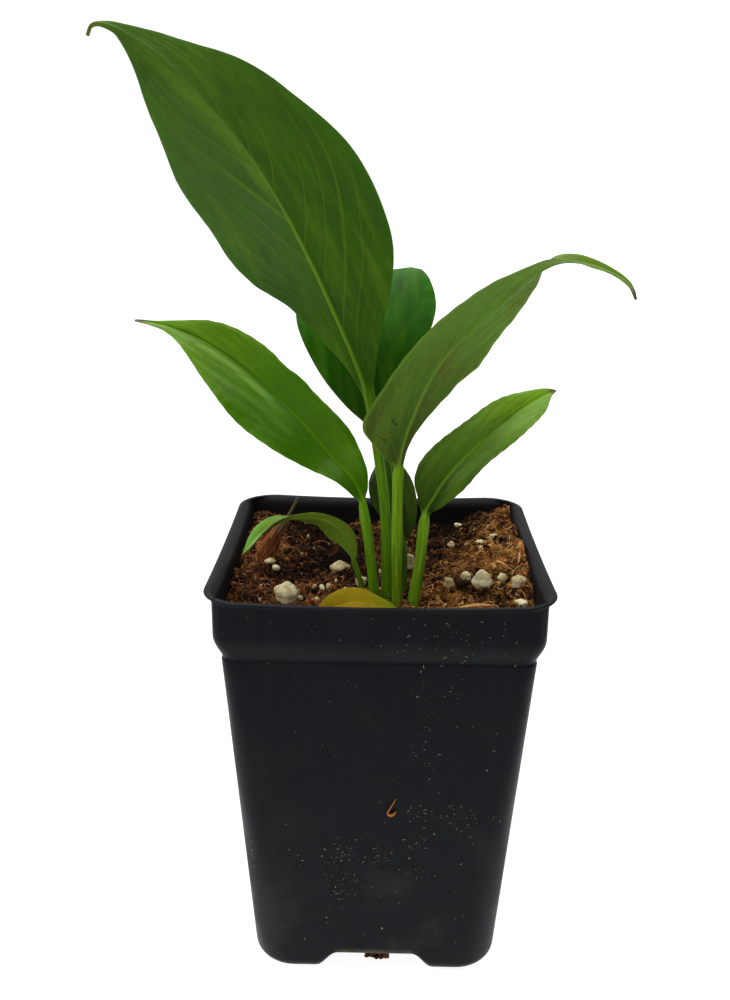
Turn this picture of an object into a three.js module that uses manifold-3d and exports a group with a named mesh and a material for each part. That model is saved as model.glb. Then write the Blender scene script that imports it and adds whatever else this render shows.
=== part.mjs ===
// Potted peace lily in a square nursery pot.
// Millimetres, +Z up, front of the pot toward -Y, origin at the middle of the pot's foot.
import * as THREE from 'three';
import Module from 'manifold-3d';

const wasm = await Module();
wasm.setup();

// ---------------------------------------------------------------- dimensions
const RIM_WIDTH = 100;          // across the lip
const POT_HEIGHT = 132.6;
const LIP_DROP = 0.9;           // height of the lip's outer edge
const LIP_RADIUS = 12;
const RIM_DIP = 0.8;            // sag of the lip at the middle of each side
const BAND_HALF = 47.1;         // collar below the lip, half width
const BAND_BOTTOM = 121;        // where the collar starts to curve in
const LEDGE = 113.2;            // where the collar meets the top of the tapered body
const LEDGE_STEP = 0.25;        // how far the body stands out below the collar
const BODY_TOP = 112.5;
const BODY_TOP_HALF = 45.1;
const BASE_HALF = 38.8;         // half width the taper reaches at the ground
const BASE_FILLET = 4.5;
const CORNER_RADIUS = 4;
const BASE_CORNER_RADIUS = 13;
const WALL = 1.2;

// Where the wall opens out to the lip: how far out, how far below the top, how much rounder.
const MOUTH = [[0, 3.6, 0], [0.35, 1.7, 0.7], [1.3, 0.7, 4], [2.4, 0.1, 7.6]];

const NOTCH_TOP = 7;            // height of the arch over each side opening
const NOTCH_TOP_HALF = 11.5;
const NOTCH_FOOT_HALF = 18.5;
const PAD_HALF = 16;            // central pad that stands on the ground
const SLOT_HALF = 6;            // drain slot, along the side
const SLOT_NEAR = 31;           // drain slot, distances from the middle
const SLOT_FAR = 36.3;

const SOIL_GAP = 0.35;          // play between soil and pot, soil and stems
const SOIL_LEVEL = 123.6;

const BLADE = 0.7;              // blade thickness
const STEM_UNTIL = 1.2;         // half width over stem radius: round below this,
const BLADE_FROM = 3.2;         // and flat above this
const RIB_TAPER = 0.6;          // share of the midrib that is lost by the tip

// ---------------------------------------------------------------- plant
// Petiole: [x, y, z, radius].  Blade: [x, y, z, turn, left, right].
// turn: degrees the upper face is rolled away from the front, left and right: half widths.
const LEAVES = [
  {
    name: 'leaf_tall', side: 1, fold: 18, wave: 0.5, waves: 4, rib: 1.1, color: '#3f6a26',
    petiole: [
      [2.0, -24.5, 112, 1.7], [2.0, -24.5, 124.7, 1.7], [1.6, -24.5, 142.7, 1.6],
      [0.9, -24.5, 153.5, 1.5], [-1.1, -24.0, 168.3, 1.4],
    ],
    blade: [
      [-4.3, -24.0, 185.1, 165, 2.0, 2.0], [-8.0, -25.0, 195.6, 170, 7.0, 4.2],
      [-14.4, -28.0, 210.8, 172, 18.4, 11.9], [-19.1, -30.0, 221.3, 176, 23.1, 18.7],
      [-27.4, -35.0, 237.9, 182, 23.7, 21.0], [-36.9, -40.0, 252.8, 190, 18.1, 19.6],
      [-46.5, -45.0, 263.6, 198, 12.5, 13.0], [-53.8, -47.0, 270.7, 203, 6.3, 8.2],
      [-62.7, -47.0, 276.0, 204, 2.0, 1.6], [-66.7, -46.6, 277.3, 203, 1.1, 0.9],
      [-69.4, -45.6, 277.1, 201, 0.8, 0.9], [-70.8, -44.5, 275.1, 200, 0.5, 0.5],
    ],
  },
  {
    name: 'leaf_left', side: 1, fold: 16, wave: 0.4, waves: 4, rib: 0.9, color: '#4c7d1c',
    petiole: [
      [-1.6, -27.6, 112, 1.6], [-1.6, -27.5, 125.7, 1.5], [-3.6, -27.5, 143.6, 1.4],
      [-5.0, -27.0, 152.5, 1.3],
    ],
    blade: [
      [-5.8, -26.8, 156.3, 28, 2.0, 2.0], [-9.0, -25.5, 162.2, 28, 5.0, 5.6],
      [-14.8, -21.5, 167.1, 27, 8.5, 8.8], [-23.0, -18.0, 175.6, 26, 14.2, 8.9],
      [-32.9, -13.0, 184.1, 26, 15.9, 8.8], [-43.7, -8.0, 191.9, 27, 13.0, 9.0],
      [-54.2, -4.0, 197.5, 30, 8.0, 6.4], [-63.6, -1.0, 200.5, 34, 2.8, 2.5],
      [-69.8, 1.0, 201.5, 38, 1.2, 1.0], [-74.6, 2.0, 201.9, 40, 0.5, 0.5],
    ],
  },
  {
    name: 'leaf_right', side: -1, fold: 16, wave: 0.35, waves: 3, rib: 1.0, color: '#5b7a35',
    petiole: [
      [4.9, -29.5, 112, 1.6], [4.9, -29.5, 125.9, 1.5], [4.6, -30.0, 144.8, 1.6],
      [4.5, -30.5, 157.6, 1.5], [4.6, -31.0, 165.4, 1.4],
    ],
    blade: [
      [5.3, -31.8, 171.2, 160, 1.8, 7.0], [6.0, -32.4, 174.4, 161, 2.4, 11.4],
      [6.9, -33.0, 177.7, 162, 3.4, 12.6],
      [11.0, -36.0, 189.5, 164, 8.7, 10.0], [15.7, -39.0, 198.7, 164, 12.8, 8.2],
      [22.6, -42.0, 206.8, 163, 10.1, 7.9], [30.2, -45.0, 214.9, 160, 7.6, 6.0],
      [37.6, -47.0, 221.9, 140, 4.4, 3.1], [43.0, -47.0, 224.5, 96, 2.6, 4.2],
      [49.3, -46.0, 224.3, 78, 2.2, 4.6], [56.1, -44.0, 222.0, 74, 1.9, 4.0],
      [61.8, -42.0, 218.4, 72, 1.5, 2.4], [63.9, -41.0, 215.1, 72, 0.5, 0.5],
    ],
  },
  {
    name: 'leaf_back', side: 1, fold: 10, wave: 0.5, waves: 3, rib: 0.9, color: '#3c7420',
    petiole: [
      [4.0, -19.0, 112, 1.1], [4.0, -19.0, 124.0, 1.1], [3.1, -19.0, 140.7, 1.1],
      [2.3, -18.0, 159.1, 1.1],
    ],
    blade: [
      [-0.7, -16.0, 173.0, 0, 2.0, 2.0], [-2.3, -13.0, 181.2, 0, 8.7, 7.3],
      [-4.2, -8.0, 192.4, 0, 16.0, 16.2], [-5.4, 0.0, 202.6, 0, 20.5, 21.4],
      [-5.8, 11.0, 210.4, 0, 19.5, 19.2], [-6.0, 23.0, 213.0, 0, 12.0, 11.2],
      [-6.0, 33.0, 210.5, 0, 4.0, 4.0], [-6.0, 39.0, 206.5, 0, 0.5, 0.5],
    ],
  },
  {
    name: 'leaf_low_right', side: -1, fold: 16, wave: 0.35, waves: 3, rib: 0.9, color: '#557f20',
    petiole: [
      [8.9, -29.5, 112, 1.8], [9.7, -29.5, 125.0, 1.7], [11.3, -29.0, 136.8, 1.6],
      [11.9, -28.5, 144.4, 1.5], [12.4, -28.0, 149.7, 1.4],
    ],
    blade: [
      [13.2, -27.5, 153.5, 45, 2.9, 3.0], [15.0, -27.0, 156.6, 45, 7.0, 5.8],
      [19.1, -25.0, 162.6, 45, 10.0, 9.4], [26.9, -21.0, 170.3, 45, 8.4, 9.7],
      [34.5, -17.0, 176.2, 45, 7.8, 11.0], [41.7, -13.0, 180.7, 46, 5.6, 8.4],
      [47.2, -10.0, 183.4, 47, 2.7, 3.8], [50.7, -9.0, 184.5, 48, 0.5, 0.5],
    ],
  },
  {
    name: 'leaf_small_left', side: 1, fold: 10, wave: 0.4, waves: 3, rib: 0.6, color: '#55702a',
    petiole: [
      [-5.0, -17.6, 112, 0.8], [-5.4, -18.0, 124.4, 0.8], [-6.7, -18.5, 129.5, 0.8],
      [-7.8, -18.5, 133.0, 0.8],
    ],
    blade: [
      [-8.5, -18.5, 136.2, 150, 1.8, 2.2], [-10.4, -18.0, 141.1, 150, 3.2, 6.0],
      [-13.7, -17.5, 144.3, 147, 3.2, 7.2], [-19.1, -17.0, 146.5, 138, 2.4, 6.4],
      [-24.6, -16.0, 146.2, 124, 1.9, 5.2], [-28.3, -15.0, 145.2, 105, 2.2, 4.6],
      [-33.9, -13.0, 141.9, 70, 5.0, 5.0], [-38.4, -11.0, 137.6, 58, 4.0, 5.0],
      [-42.7, -9.0, 131.4, 55, 0.5, 0.5],
    ],
  },
  {
    name: 'leaf_small_centre', side: 1, fold: 10, wave: 0.4, waves: 2, rib: 0.6, color: '#2f5a1c',
    petiole: [
      [7.5, -17.5, 112, 0.8], [7.5, -17.5, 124.7, 0.8], [7.3, -17.0, 132.0, 0.8],
      [7.2, -16.5, 137.3, 0.8],
    ],
    blade: [
      [7.0, -16.0, 140.0, 0, 1.6, 1.6], [6.1, -14.0, 143.8, 0, 3.6, 4.6],
      [4.5, -9.0, 150.0, 0, 7.4, 6.4], [2.9, -4.0, 154.9, 0, 6.9, 5.8],
      [1.5, 2.0, 158.5, 0, 3.4, 3.2], [0.6, 6.0, 160.0, 0, 0.5, 0.5],
    ],
  },
  {
    name: 'leaf_yellow', side: 1, fold: 12, wave: 0.3, waves: 2, rib: 0.5, color: '#8f8420',
    petiole: [
      [9.5, -35.6, 116, 0.8], [9.0, -35.6, 120.5, 0.8], [6.6, -35.6, 124.3, 0.8],
    ],
    blade: [
      [4.0, -35.6, 125.8, 60, 1.2, 1.2], [-1.0, -35.4, 127.0, 60, 2.8, 2.8],
      [-6.0, -35.0, 127.6, 60, 4.3, 4.3], [-10.5, -35.4, 127.0, 56, 4.6, 4.6],
      [-15.0, -37.0, 125.9, 50, 3.0, 3.0], [-18.2, -38.4, 125.3, 46, 0.5, 0.5],
    ],
  },
];

// Dead stub of an old stalk: [x, y, z, radius].
const STALK = {
  name: 'dry_stalk', color: '#7a4a2c',
  path: [
    [-37.9, 7.0, 116, 2.0], [-37.1, 8.0, 125.6, 1.9], [-35.8, 8.6, 129.3, 1.9],
    [-33.9, 9.3, 132.7, 1.5], [-32.3, 9.8, 134.7, 0.8], [-30.0, 10.8, 138.0, 0.5],
    [-26.9, 12.0, 143.8, 0.4],
  ],
};

// Perlite grains: [x, y, height of the middle above the soil, half sizes in x, y, z].
const PERLITE = [
  [-27.6, -27.2, 2.5, 3.4, 2.9, 3.7], [30.9, -17.3, 1.8, 3.0, 2.6, 3.1],
  [41.0, -27.4, 0.1, 2.5, 1.8, 1.3], [-12.9, 2.4, 0.2, 3.2, 2.7, 2.2],
  [9.5, -0.3, 2.1, 1.6, 1.4, 3.3], [41.6, -20.3, 1.2, 2.2, 1.9, 2.2],
  [37.4, -14.7, 0.8, 1.5, 1.3, 1.5], [38.0, 17.4, 0.4, 1.6, 1.3, 1.4],
  [33.9, 19.3, 0.0, 1.8, 1.6, 1.1], [24.0, 20.8, 0.7, 1.2, 1.1, 1.3],
  [26.7, -9.5, 0.5, 1.7, 1.5, 1.7], [-35.6, 2.4, 0.5, 1.6, 1.4, 1.2],
  [21.0, -16.2, 1.0, 1.7, 1.4, 1.9], [-5.8, -13.2, 0.8, 1.8, 1.5, 1.9],
];

// ---------------------------------------------------------------- helpers
// Closed solid from points and triangles, turned to face outward.
function solidOf(points, faces) {
  const vertProperties = new Float32Array(points.flat());
  const make = (list) => {
    const triVerts = new Uint32Array(list.flat());
    return new wasm.Manifold(new wasm.Mesh({ numProp: 3, vertProperties, triVerts }));
  };
  const solid = make(faces);
  return solid.volume() < 0 ? make(faces.map(([a, b, c]) => [a, c, b])) : solid;
}

function meshOf(name, solid, color, roughness) {
  const { vertProperties, triVerts, numProp } = solid.getMesh();
  const position = new Float32Array((vertProperties.length / numProp) * 3);
  for (let i = 0; i < position.length / 3; i += 1) {
    for (let k = 0; k < 3; k += 1) position[i * 3 + k] = vertProperties[i * numProp + k];
  }
  const geometry = new THREE.BufferGeometry();
  geometry.setAttribute('position', new THREE.BufferAttribute(position, 3));
  geometry.setIndex(new THREE.BufferAttribute(new Uint32Array(triVerts), 1));
  geometry.computeVertexNormals();
  const material = new THREE.MeshStandardMaterial({ color, roughness, metalness: 0 });
  const mesh = new THREE.Mesh(geometry, material);
  mesh.name = name;
  return mesh;
}

// Closed solid through rings that all have the same number of points, with flat ends.
function loft(rings) {
  const n = rings[0].length;
  const faces = [];
  for (let i = 0; i + 1 < rings.length; i += 1) {
    for (let j = 0; j < n; j += 1) {
      const a = i * n + j;
      const b = i * n + ((j + 1) % n);
      faces.push([a, b, b + n], [a, b + n, a + n]);
    }
  }
  const last = (rings.length - 1) * n;
  for (let j = 1; j + 1 < n; j += 1) {
    faces.push([0, j + 1, j], [last, last + j, last + j + 1]);
  }
  return solidOf(rings.flat(), faces);
}

function smooth(a, b, x) {
  const t = Math.min(1, Math.max(0, (x - a) / (b - a)));
  return t * t * (3 - 2 * t);
}

// ---------------------------------------------------------------- pot
const ARC_STEPS = 5;
const SIDE_STEPS = 4;

// Rounded square of half width h at height z; dip lowers the middle of each side.
function squareRing(h, r, z, dip = 0) {
  const ring = [];
  for (let q = 0; q < 4; q += 1) {
    const turn = (q * Math.PI) / 2;
    const place = (x, y, drop) => {
      const c = Math.cos(turn);
      const s = Math.sin(turn);
      ring.push([x * c - y * s, x * s + y * c, z - drop]);
    };
    for (let k = 1; k < SIDE_STEPS; k += 1) {
      const y = (h - r) * ((2 * k) / SIDE_STEPS - 1);
      const t = y / (h - r);
      place(h, y, dip * (1 - t * t));
    }
    for (let k = 0; k <= ARC_STEPS; k += 1) {
      const a = ((k / ARC_STEPS) * Math.PI) / 2;
      place(h - r + r * Math.cos(a), h - r + r * Math.sin(a), 0);
    }
  }
  return ring;
}

const bodyHalf = (z) => BASE_HALF + ((BODY_TOP_HALF - BASE_HALF) * z) / BODY_TOP;
const bodyCorner = (z) => BASE_CORNER_RADIUS + ((CORNER_RADIUS - BASE_CORNER_RADIUS) * z) / BODY_TOP;

function potOuter() {
  const rings = [];
  for (let k = 0; k <= 4; k += 1) {
    const a = ((k / 4) * Math.PI) / 2;
    const z = BASE_FILLET * (1 - Math.cos(a));
    const inset = BASE_FILLET * (1 - Math.sin(a));
    rings.push(squareRing(bodyHalf(z) - inset, bodyCorner(z) - 0.55 * inset, z));
  }
  rings.push(squareRing(bodyHalf(60), bodyCorner(60), 60));
  rings.push(squareRing(BODY_TOP_HALF, CORNER_RADIUS, BODY_TOP));
  const neck = BODY_TOP_HALF - LEDGE_STEP;
  for (let k = 0; k <= 6; k += 1) {
    const t = k / 6;
    const out = smooth(0, 1, t ** 0.75);
    const z = LEDGE + (BAND_BOTTOM - LEDGE) * t;
    rings.push(squareRing(neck + (BAND_HALF - neck) * out, CORNER_RADIUS, z));
  }
  const lip = RIM_WIDTH / 2;
  rings.push(squareRing(BAND_HALF, CORNER_RADIUS, POT_HEIGHT - LIP_DROP - 0.7, RIM_DIP));
  rings.push(squareRing(lip - 0.4, LIP_RADIUS, POT_HEIGHT - LIP_DROP, RIM_DIP));
  rings.push(squareRing(lip, LIP_RADIUS, POT_HEIGHT - 0.5, RIM_DIP));
  rings.push(squareRing(lip - 0.5, LIP_RADIUS, POT_HEIGHT, RIM_DIP));
  return loft(rings);
}

function potInner(inset) {
  const rings = [];
  const floor = WALL + inset;
  const r = BASE_FILLET - WALL;
  for (let k = 0; k <= 3; k += 1) {
    const a = ((k / 3) * Math.PI) / 2;
    const z = floor + r * (1 - Math.cos(a));
    const turnIn = r * (1 - Math.sin(a));
    rings.push(squareRing(bodyHalf(z) - floor - turnIn, bodyCorner(z) - WALL - 0.5 * turnIn, z));
  }
  const radius = CORNER_RADIUS - WALL;
  rings.push(squareRing(bodyHalf(60) - floor, bodyCorner(60) - WALL, 60));
  rings.push(squareRing(BODY_TOP_HALF - floor, radius, LEDGE + 0.9));
  rings.push(squareRing(BAND_HALF - floor, radius, BAND_BOTTOM + 1));
  MOUTH.forEach(([out, depth, rounder], i) => {
    const dip = i === 0 ? 0 : RIM_DIP;
    rings.push(squareRing(BAND_HALF - floor + out, radius + rounder, POT_HEIGHT - depth, dip));
  });
  const [out, , rounder] = MOUTH[MOUTH.length - 1];
  rings.push(squareRing(BAND_HALF - floor + out, radius + rounder, POT_HEIGHT + 2));
  return loft(rings);
}

// Arched passage under one side, grown by g, with its foot flared out to the ground.
function notch(g) {
  const half = [[-1, NOTCH_FOOT_HALF + 0.4 + g]];
  const steps = 6;
  for (let k = 0; k <= steps; k += 1) {
    const t = k / steps;
    const x = NOTCH_FOOT_HALF + (NOTCH_TOP_HALF - NOTCH_FOOT_HALF) * t;
    half.push([NOTCH_TOP * smooth(0, 1, t) + g, x + g * 0.6]);
  }
  const profile = [...half.map(([z, x]) => [x, z]), ...half.reverse().map(([z, x]) => [-x, z])];
  const near = -(PAD_HALF - g);
  const far = -(BASE_HALF + 12);
  return loft([
    profile.map(([x, z]) => [x, far, z]),
    profile.map(([x, z]) => [x, near, z]),
  ]);
}

function fourSides(solid) {
  return [0, 90, 180, 270]
    .map((turn) => solid.rotate([0, 0, turn]))
    .reduce((sum, next) => sum.add(next));
}

function makePot() {
  const shell = potOuter().subtract(fourSides(notch(0)));
  const room = potInner(0).subtract(fourSides(notch(WALL)));
  const slotSize = [2 * SLOT_HALF, SLOT_FAR - SLOT_NEAR, 6];
  const slotAt = [0, -(SLOT_FAR + SLOT_NEAR) / 2, NOTCH_TOP + 1];
  const slot = wasm.Manifold.cube(slotSize, true).translate(slotAt);
  return shell.subtract(room).subtract(fourSides(slot));
}

// ---------------------------------------------------------------- curves and leaves
const add = (a, b, k = 1) => a.map((v, i) => v + b[i] * k);
const dot = (a, b) => a[0] * b[0] + a[1] * b[1] + a[2] * b[2];
const unit = (a) => a.map((v) => v / Math.hypot(...a));
const cross = (a, b) => [
  a[1] * b[2] - a[2] * b[1], a[2] * b[0] - a[0] * b[2], a[0] * b[1] - a[1] * b[0],
];

// Smooth curve through rows of numbers whose first three are a place in space.
function curveThrough(rows) {
  const knots = [0];
  for (let i = 1; i < rows.length; i += 1) {
    const [x, y, z] = add(rows[i], rows[i - 1], -1);
    knots.push(knots[i - 1] + Math.hypot(x, y, z));
  }
  const slope = rows.map((row, i) => {
    const a = Math.max(0, i - 1);
    const b = Math.min(rows.length - 1, i + 1);
    return row.map((v, k) => (rows[b][k] - rows[a][k]) / (knots[b] - knots[a]));
  });
  const at = (s) => {
    let i = 0;
    while (i < rows.length - 2 && knots[i + 1] <= s) i += 1;
    const h = knots[i + 1] - knots[i];
    const t = (s - knots[i]) / h;
    const w = [
      2 * t ** 3 - 3 * t ** 2 + 1, (t ** 3 - 2 * t ** 2 + t) * h,
      -2 * t ** 3 + 3 * t ** 2, (t ** 3 - t ** 2) * h,
    ];
    return rows[i].map((v, k) => w[0] * v + w[1] * slope[i][k]
      + w[2] * rows[i + 1][k] + w[3] * slope[i + 1][k]);
  };
  return { at, knots, length: knots[knots.length - 1] };
}

// Frames along the leaf: place, upper-face normal, right hand, half widths and stem radius.
function leafFrames(leaf, spacing) {
  const start = leaf.blade[0];
  const stem = leaf.petiole.map(([x, y, z, r]) => [x, y, z, start[3], r, r, r]);
  const blade = leaf.blade.map((row) => [...row, leaf.rib]);
  const curve = curveThrough([...stem, ...blade]);
  const bladeFrom = curve.knots[stem.length];
  const marks = [];
  curve.knots.slice(1).forEach((to, i) => {
    const from = curve.knots[i];
    const step = i < stem.length - 1 ? spacing * 2 : spacing;
    const parts = Math.max(1, Math.round((to - from) / step));
    for (let k = 0; k < parts; k += 1) marks.push(from + ((to - from) * k) / parts);
  });
  marks.push(curve.length);
  let normal = [0, -1, 0];
  return marks.map((s) => {
    const e = 0.05;
    const ahead = curve.at(Math.min(curve.length, s + e));
    const behind = curve.at(Math.max(0, s - e));
    const tangent = unit(add(ahead, behind, -1).slice(0, 3));
    normal = unit(add(normal, tangent, -dot(normal, tangent)));
    const row = curve.at(s);
    const along = Math.max(0, (s - bladeFrom) / (curve.length - bladeFrom));
    const a = (leaf.side * row[3] * Math.PI) / 180;
    const flank = cross(tangent, normal);
    const up = add(normal.map((v) => v * Math.cos(a)), flank, Math.sin(a));
    return {
      place: row.slice(0, 3),
      up,
      right: cross(tangent, up),
      left: Math.max(0.4, row[4]),
      wide: Math.max(0.4, row[5]),
      radius: row[6] * (1 - RIB_TAPER * along),
      along,
    };
  });
}

// One ring of a leaf, from the round stem (flat = 0) to the thin blade (flat = 1).
function leafRing(leaf, f, grow) {
  const flat = smooth(STEM_UNTIL, BLADE_FROM, Math.max(f.left, f.wide) / f.radius);
  const rib = f.radius;
  const fold = (leaf.fold * Math.PI) / 180;
  const across = [-f.left, -f.left * 0.55, -rib, 0, rib, f.wide * 0.55, f.wide];
  const count = across.length;
  const ring = [];
  for (const face of [1, -1]) {
    const row = across.map((s, j) => {
      const width = s < 0 ? f.left : f.wide;
      const t = Math.abs(s) / width;
      const phase = s < 0 ? 0.4 : 2.1;
      const ripple = leaf.wave * t * t * smooth(1, 8, width)
        * Math.sin(2 * Math.PI * leaf.waves * f.along + phase);
      const lift = Math.abs(s) * Math.sin(fold) + ripple;
      const ribDepth = face < 0 ? rib * 0.9 * Math.max(0, 1 - Math.abs(s) / rib) : 0;
      const thick = face * (BLADE / 2 + grow) - ribDepth;
      const edge = s * Math.cos(fold) + Math.sign(s) * grow * (t > 0.99 ? 1 : 0);
      const angle = (Math.PI * (j + 0.5)) / count;
      const round = f.radius + grow;
      const x = -Math.cos(angle) * round * (1 - flat) + edge * flat;
      const y = face * Math.sin(angle) * round * (1 - flat) + (lift + thick) * flat;
      return add(add(f.place, f.right, x), f.up, y);
    });
    if (face < 0) row.reverse();
    ring.push(...row);
  }
  return ring;
}

function leafSolid(leaf, grow = 0, spacing = 4) {
  const frames = leafFrames(leaf, spacing);
  frames[0].place[2] -= grow;
  const rings = frames.map((f) => leafRing(leaf, f, grow));
  const n = rings[0].length;
  const half = n / 2;
  const faces = [];
  for (let i = 0; i + 1 < rings.length; i += 1) {
    for (let j = 0; j < n; j += 1) {
      const a = i * n + j;
      const b = i * n + ((j + 1) % n);
      if (j < half) faces.push([a, a + n, b + n], [a, b + n, b]);
      else faces.push([a, a + n, b], [b, a + n, b + n]);
    }
  }
  const last = (rings.length - 1) * n;
  for (let j = 0; j + 1 < half; j += 1) {
    const k = n - 1 - j;
    faces.push([j, j + 1, k - 1], [j, k - 1, k]);
    faces.push([last + j, last + k - 1, last + j + 1], [last + j, last + k, last + k - 1]);
  }
  return solidOf(rings.flat(), faces);
}

function tubeSolid(path, grow = 0, sides = 8) {
  const curve = curveThrough(path);
  const steps = 9;
  let normal = [0, -1, 0];
  const rings = [];
  for (let i = 0; i <= steps; i += 1) {
    const s = (curve.length * i) / steps;
    const ahead = curve.at(Math.min(curve.length, s + 0.05));
    const behind = curve.at(Math.max(0, s - 0.05));
    const tangent = unit(add(ahead, behind, -1).slice(0, 3));
    normal = unit(add(normal, tangent, -dot(normal, tangent)));
    const flank = cross(tangent, normal);
    const [x, y, height, r] = curve.at(s);
    const z = height - (i === 0 ? grow : 0);
    const ring = [];
    for (let j = 0; j < sides; j += 1) {
      const a = (2 * Math.PI * j) / sides;
      const radius = (r + grow) * (1 + (grow ? 0 : 0.12 * Math.sin(3 * a + i)));
      ring.push(add(add([x, y, z], normal, Math.cos(a) * radius), flank, Math.sin(a) * radius));
    }
    rings.push(ring);
  }
  return loft(rings);
}

// ---------------------------------------------------------------- soil and perlite
function soilHeight(x, y) {
  const tilt = 0.012 * x + 0.008 * y;
  const lumps = 0.75 * Math.sin(0.21 * x + 1.1) * Math.cos(0.19 * y - 0.6)
    + 0.5 * Math.sin(0.47 * x - 0.33 * y) + 0.4 * Math.sin(0.39 * y + 0.61 * x + 2);
  const rightBank = 5.6 * smooth(20, 46, x) * smooth(-36, -4, y);
  const rightHeap = 1.2 * smooth(14, 2, Math.hypot(x - 45, y - 3));
  const leftBank = 1.8 * smooth(-28, -46, x) * smooth(-34, -20, y);
  const backHeap = 2.6 * smooth(20, 3, Math.hypot(x + 36, y - 44));
  return SOIL_LEVEL + tilt + lumps + rightBank + rightHeap + leftBank + backHeap;
}

function terrain() {
  const cells = 28;
  const reach = 50;
  const points = [];
  for (let i = 0; i <= cells; i += 1) {
    for (let j = 0; j <= cells; j += 1) {
      const x = -reach + (2 * reach * i) / cells;
      const y = -reach + (2 * reach * j) / cells;
      points.push([x, y, soilHeight(x, y)]);
    }
  }
  const row = cells + 1;
  const faces = [];
  for (let i = 0; i < cells; i += 1) {
    for (let j = 0; j < cells; j += 1) {
      const a = i * row + j;
      faces.push([a, a + row, a + row + 1], [a, a + row + 1, a + 1]);
    }
  }
  const border = [];
  for (let i = 0; i < cells; i += 1) border.push(i * row);
  for (let j = 0; j < cells; j += 1) border.push(cells * row + j);
  for (let i = cells; i > 0; i -= 1) border.push(i * row + cells);
  for (let j = cells; j > 0; j -= 1) border.push(j);
  const base = points.length;
  border.forEach((k) => points.push([points[k][0], points[k][1], -5]));
  const m = border.length;
  for (let k = 0; k < m; k += 1) {
    const next = (k + 1) % m;
    faces.push([border[k], base + k, base + next], [border[k], base + next, border[next]]);
  }
  for (let k = 1; k + 1 < m; k += 1) faces.push([base, base + k + 1, base + k]);
  return solidOf(points, faces);
}

function grainSolid([x, y, above, a, b, c], index, grow = 0) {
  const ball = new THREE.IcosahedronGeometry(1, 1);
  const pos = ball.getAttribute('position');
  const keys = new Map();
  const points = [];
  const faces = [];
  const z = soilHeight(x, y) + above;
  for (let i = 0; i < pos.count; i += 3) {
    const face = [0, 1, 2].map((k) => {
      const p = [pos.getX(i + k), pos.getY(i + k), pos.getZ(i + k)];
      const key = p.map((v) => v.toFixed(4)).join();
      if (!keys.has(key)) {
        const bump = 1 + 0.09 * Math.sin(5 * p[0] + index * 1.7) * Math.sin(4 * p[1] + index)
          + 0.07 * Math.sin(6 * p[2] + index * 2.3);
        const size = [a, b, c].map((v) => v * bump + grow);
        keys.set(key, points.length);
        points.push([x + p[0] * size[0], y + p[1] * size[1], z + p[2] * size[2]]);
      }
      return keys.get(key);
    });
    faces.push(face);
  }
  return solidOf(points, faces);
}

// Coir that has worked its way out through the front drain slot.
function drainPlug() {
  const rings = [[1.6, 2.8], [2.5, 4.4], [5, 5], [12, 5]].map(([z, half]) => {
    const y = -(SLOT_NEAR + SLOT_FAR) / 2;
    const deep = (SLOT_FAR - SLOT_NEAR) / 2 - 0.5;
    return [[-half, y - deep], [half, y - deep], [half, y + deep], [-half, y + deep]]
      .map(([px, py]) => [px, py, z]);
  });
  return loft(rings);
}

function makeSoil() {
  let soil = potInner(SOIL_GAP).subtract(fourSides(notch(WALL + SOIL_GAP)));
  soil = soil.add(drainPlug()).intersect(terrain());
  for (const leaf of LEAVES) soil = soil.subtract(leafSolid(leaf, SOIL_GAP));
  soil = soil.subtract(tubeSolid(STALK.path, SOIL_GAP + 0.3));
  PERLITE.forEach((grain, i) => {
    soil = soil.subtract(grainSolid(grain, i, SOIL_GAP + 0.02));
  });
  return soil;
}

// ---------------------------------------------------------------- the object
const group = new THREE.Group();
group.name = 'potted_peace_lily';
group.add(meshOf('pot', makePot(), '#232427', 0.45));
group.add(meshOf('soil', makeSoil(), '#5a3820', 0.95));
for (const leaf of LEAVES) group.add(meshOf(leaf.name, leafSolid(leaf), leaf.color, 0.4));
group.add(meshOf(STALK.name, tubeSolid(STALK.path), STALK.color, 0.9));
PERLITE.forEach((grain, i) => {
  const name = `perlite_${String(i + 1).padStart(2, '0')}`;
  group.add(meshOf(name, grainSolid(grain, i), '#e3dfc6', 0.9));
});

export default group;
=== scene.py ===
"""Potted peace lily in a square nursery pot: the finished surfaces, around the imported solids.

Sizes are millimetres until a mesh is made. +Z is up and the front of the pot faces -Y.
"""

import math
from types import SimpleNamespace

import bmesh
import bpy
import numpy as np
from mathutils import Matrix, Vector, noise


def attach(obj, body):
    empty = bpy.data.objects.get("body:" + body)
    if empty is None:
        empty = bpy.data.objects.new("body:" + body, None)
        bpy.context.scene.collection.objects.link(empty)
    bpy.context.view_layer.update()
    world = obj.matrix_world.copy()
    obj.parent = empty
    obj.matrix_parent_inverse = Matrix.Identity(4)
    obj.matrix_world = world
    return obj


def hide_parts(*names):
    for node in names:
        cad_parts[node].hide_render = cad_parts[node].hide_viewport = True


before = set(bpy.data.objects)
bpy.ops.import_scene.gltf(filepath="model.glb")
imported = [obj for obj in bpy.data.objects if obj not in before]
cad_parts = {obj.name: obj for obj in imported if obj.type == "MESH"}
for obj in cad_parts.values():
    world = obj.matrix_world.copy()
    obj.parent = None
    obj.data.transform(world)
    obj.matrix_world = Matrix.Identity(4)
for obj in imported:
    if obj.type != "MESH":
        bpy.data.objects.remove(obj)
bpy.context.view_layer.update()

MM = 0.001
rng = np.random.default_rng(7)

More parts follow.
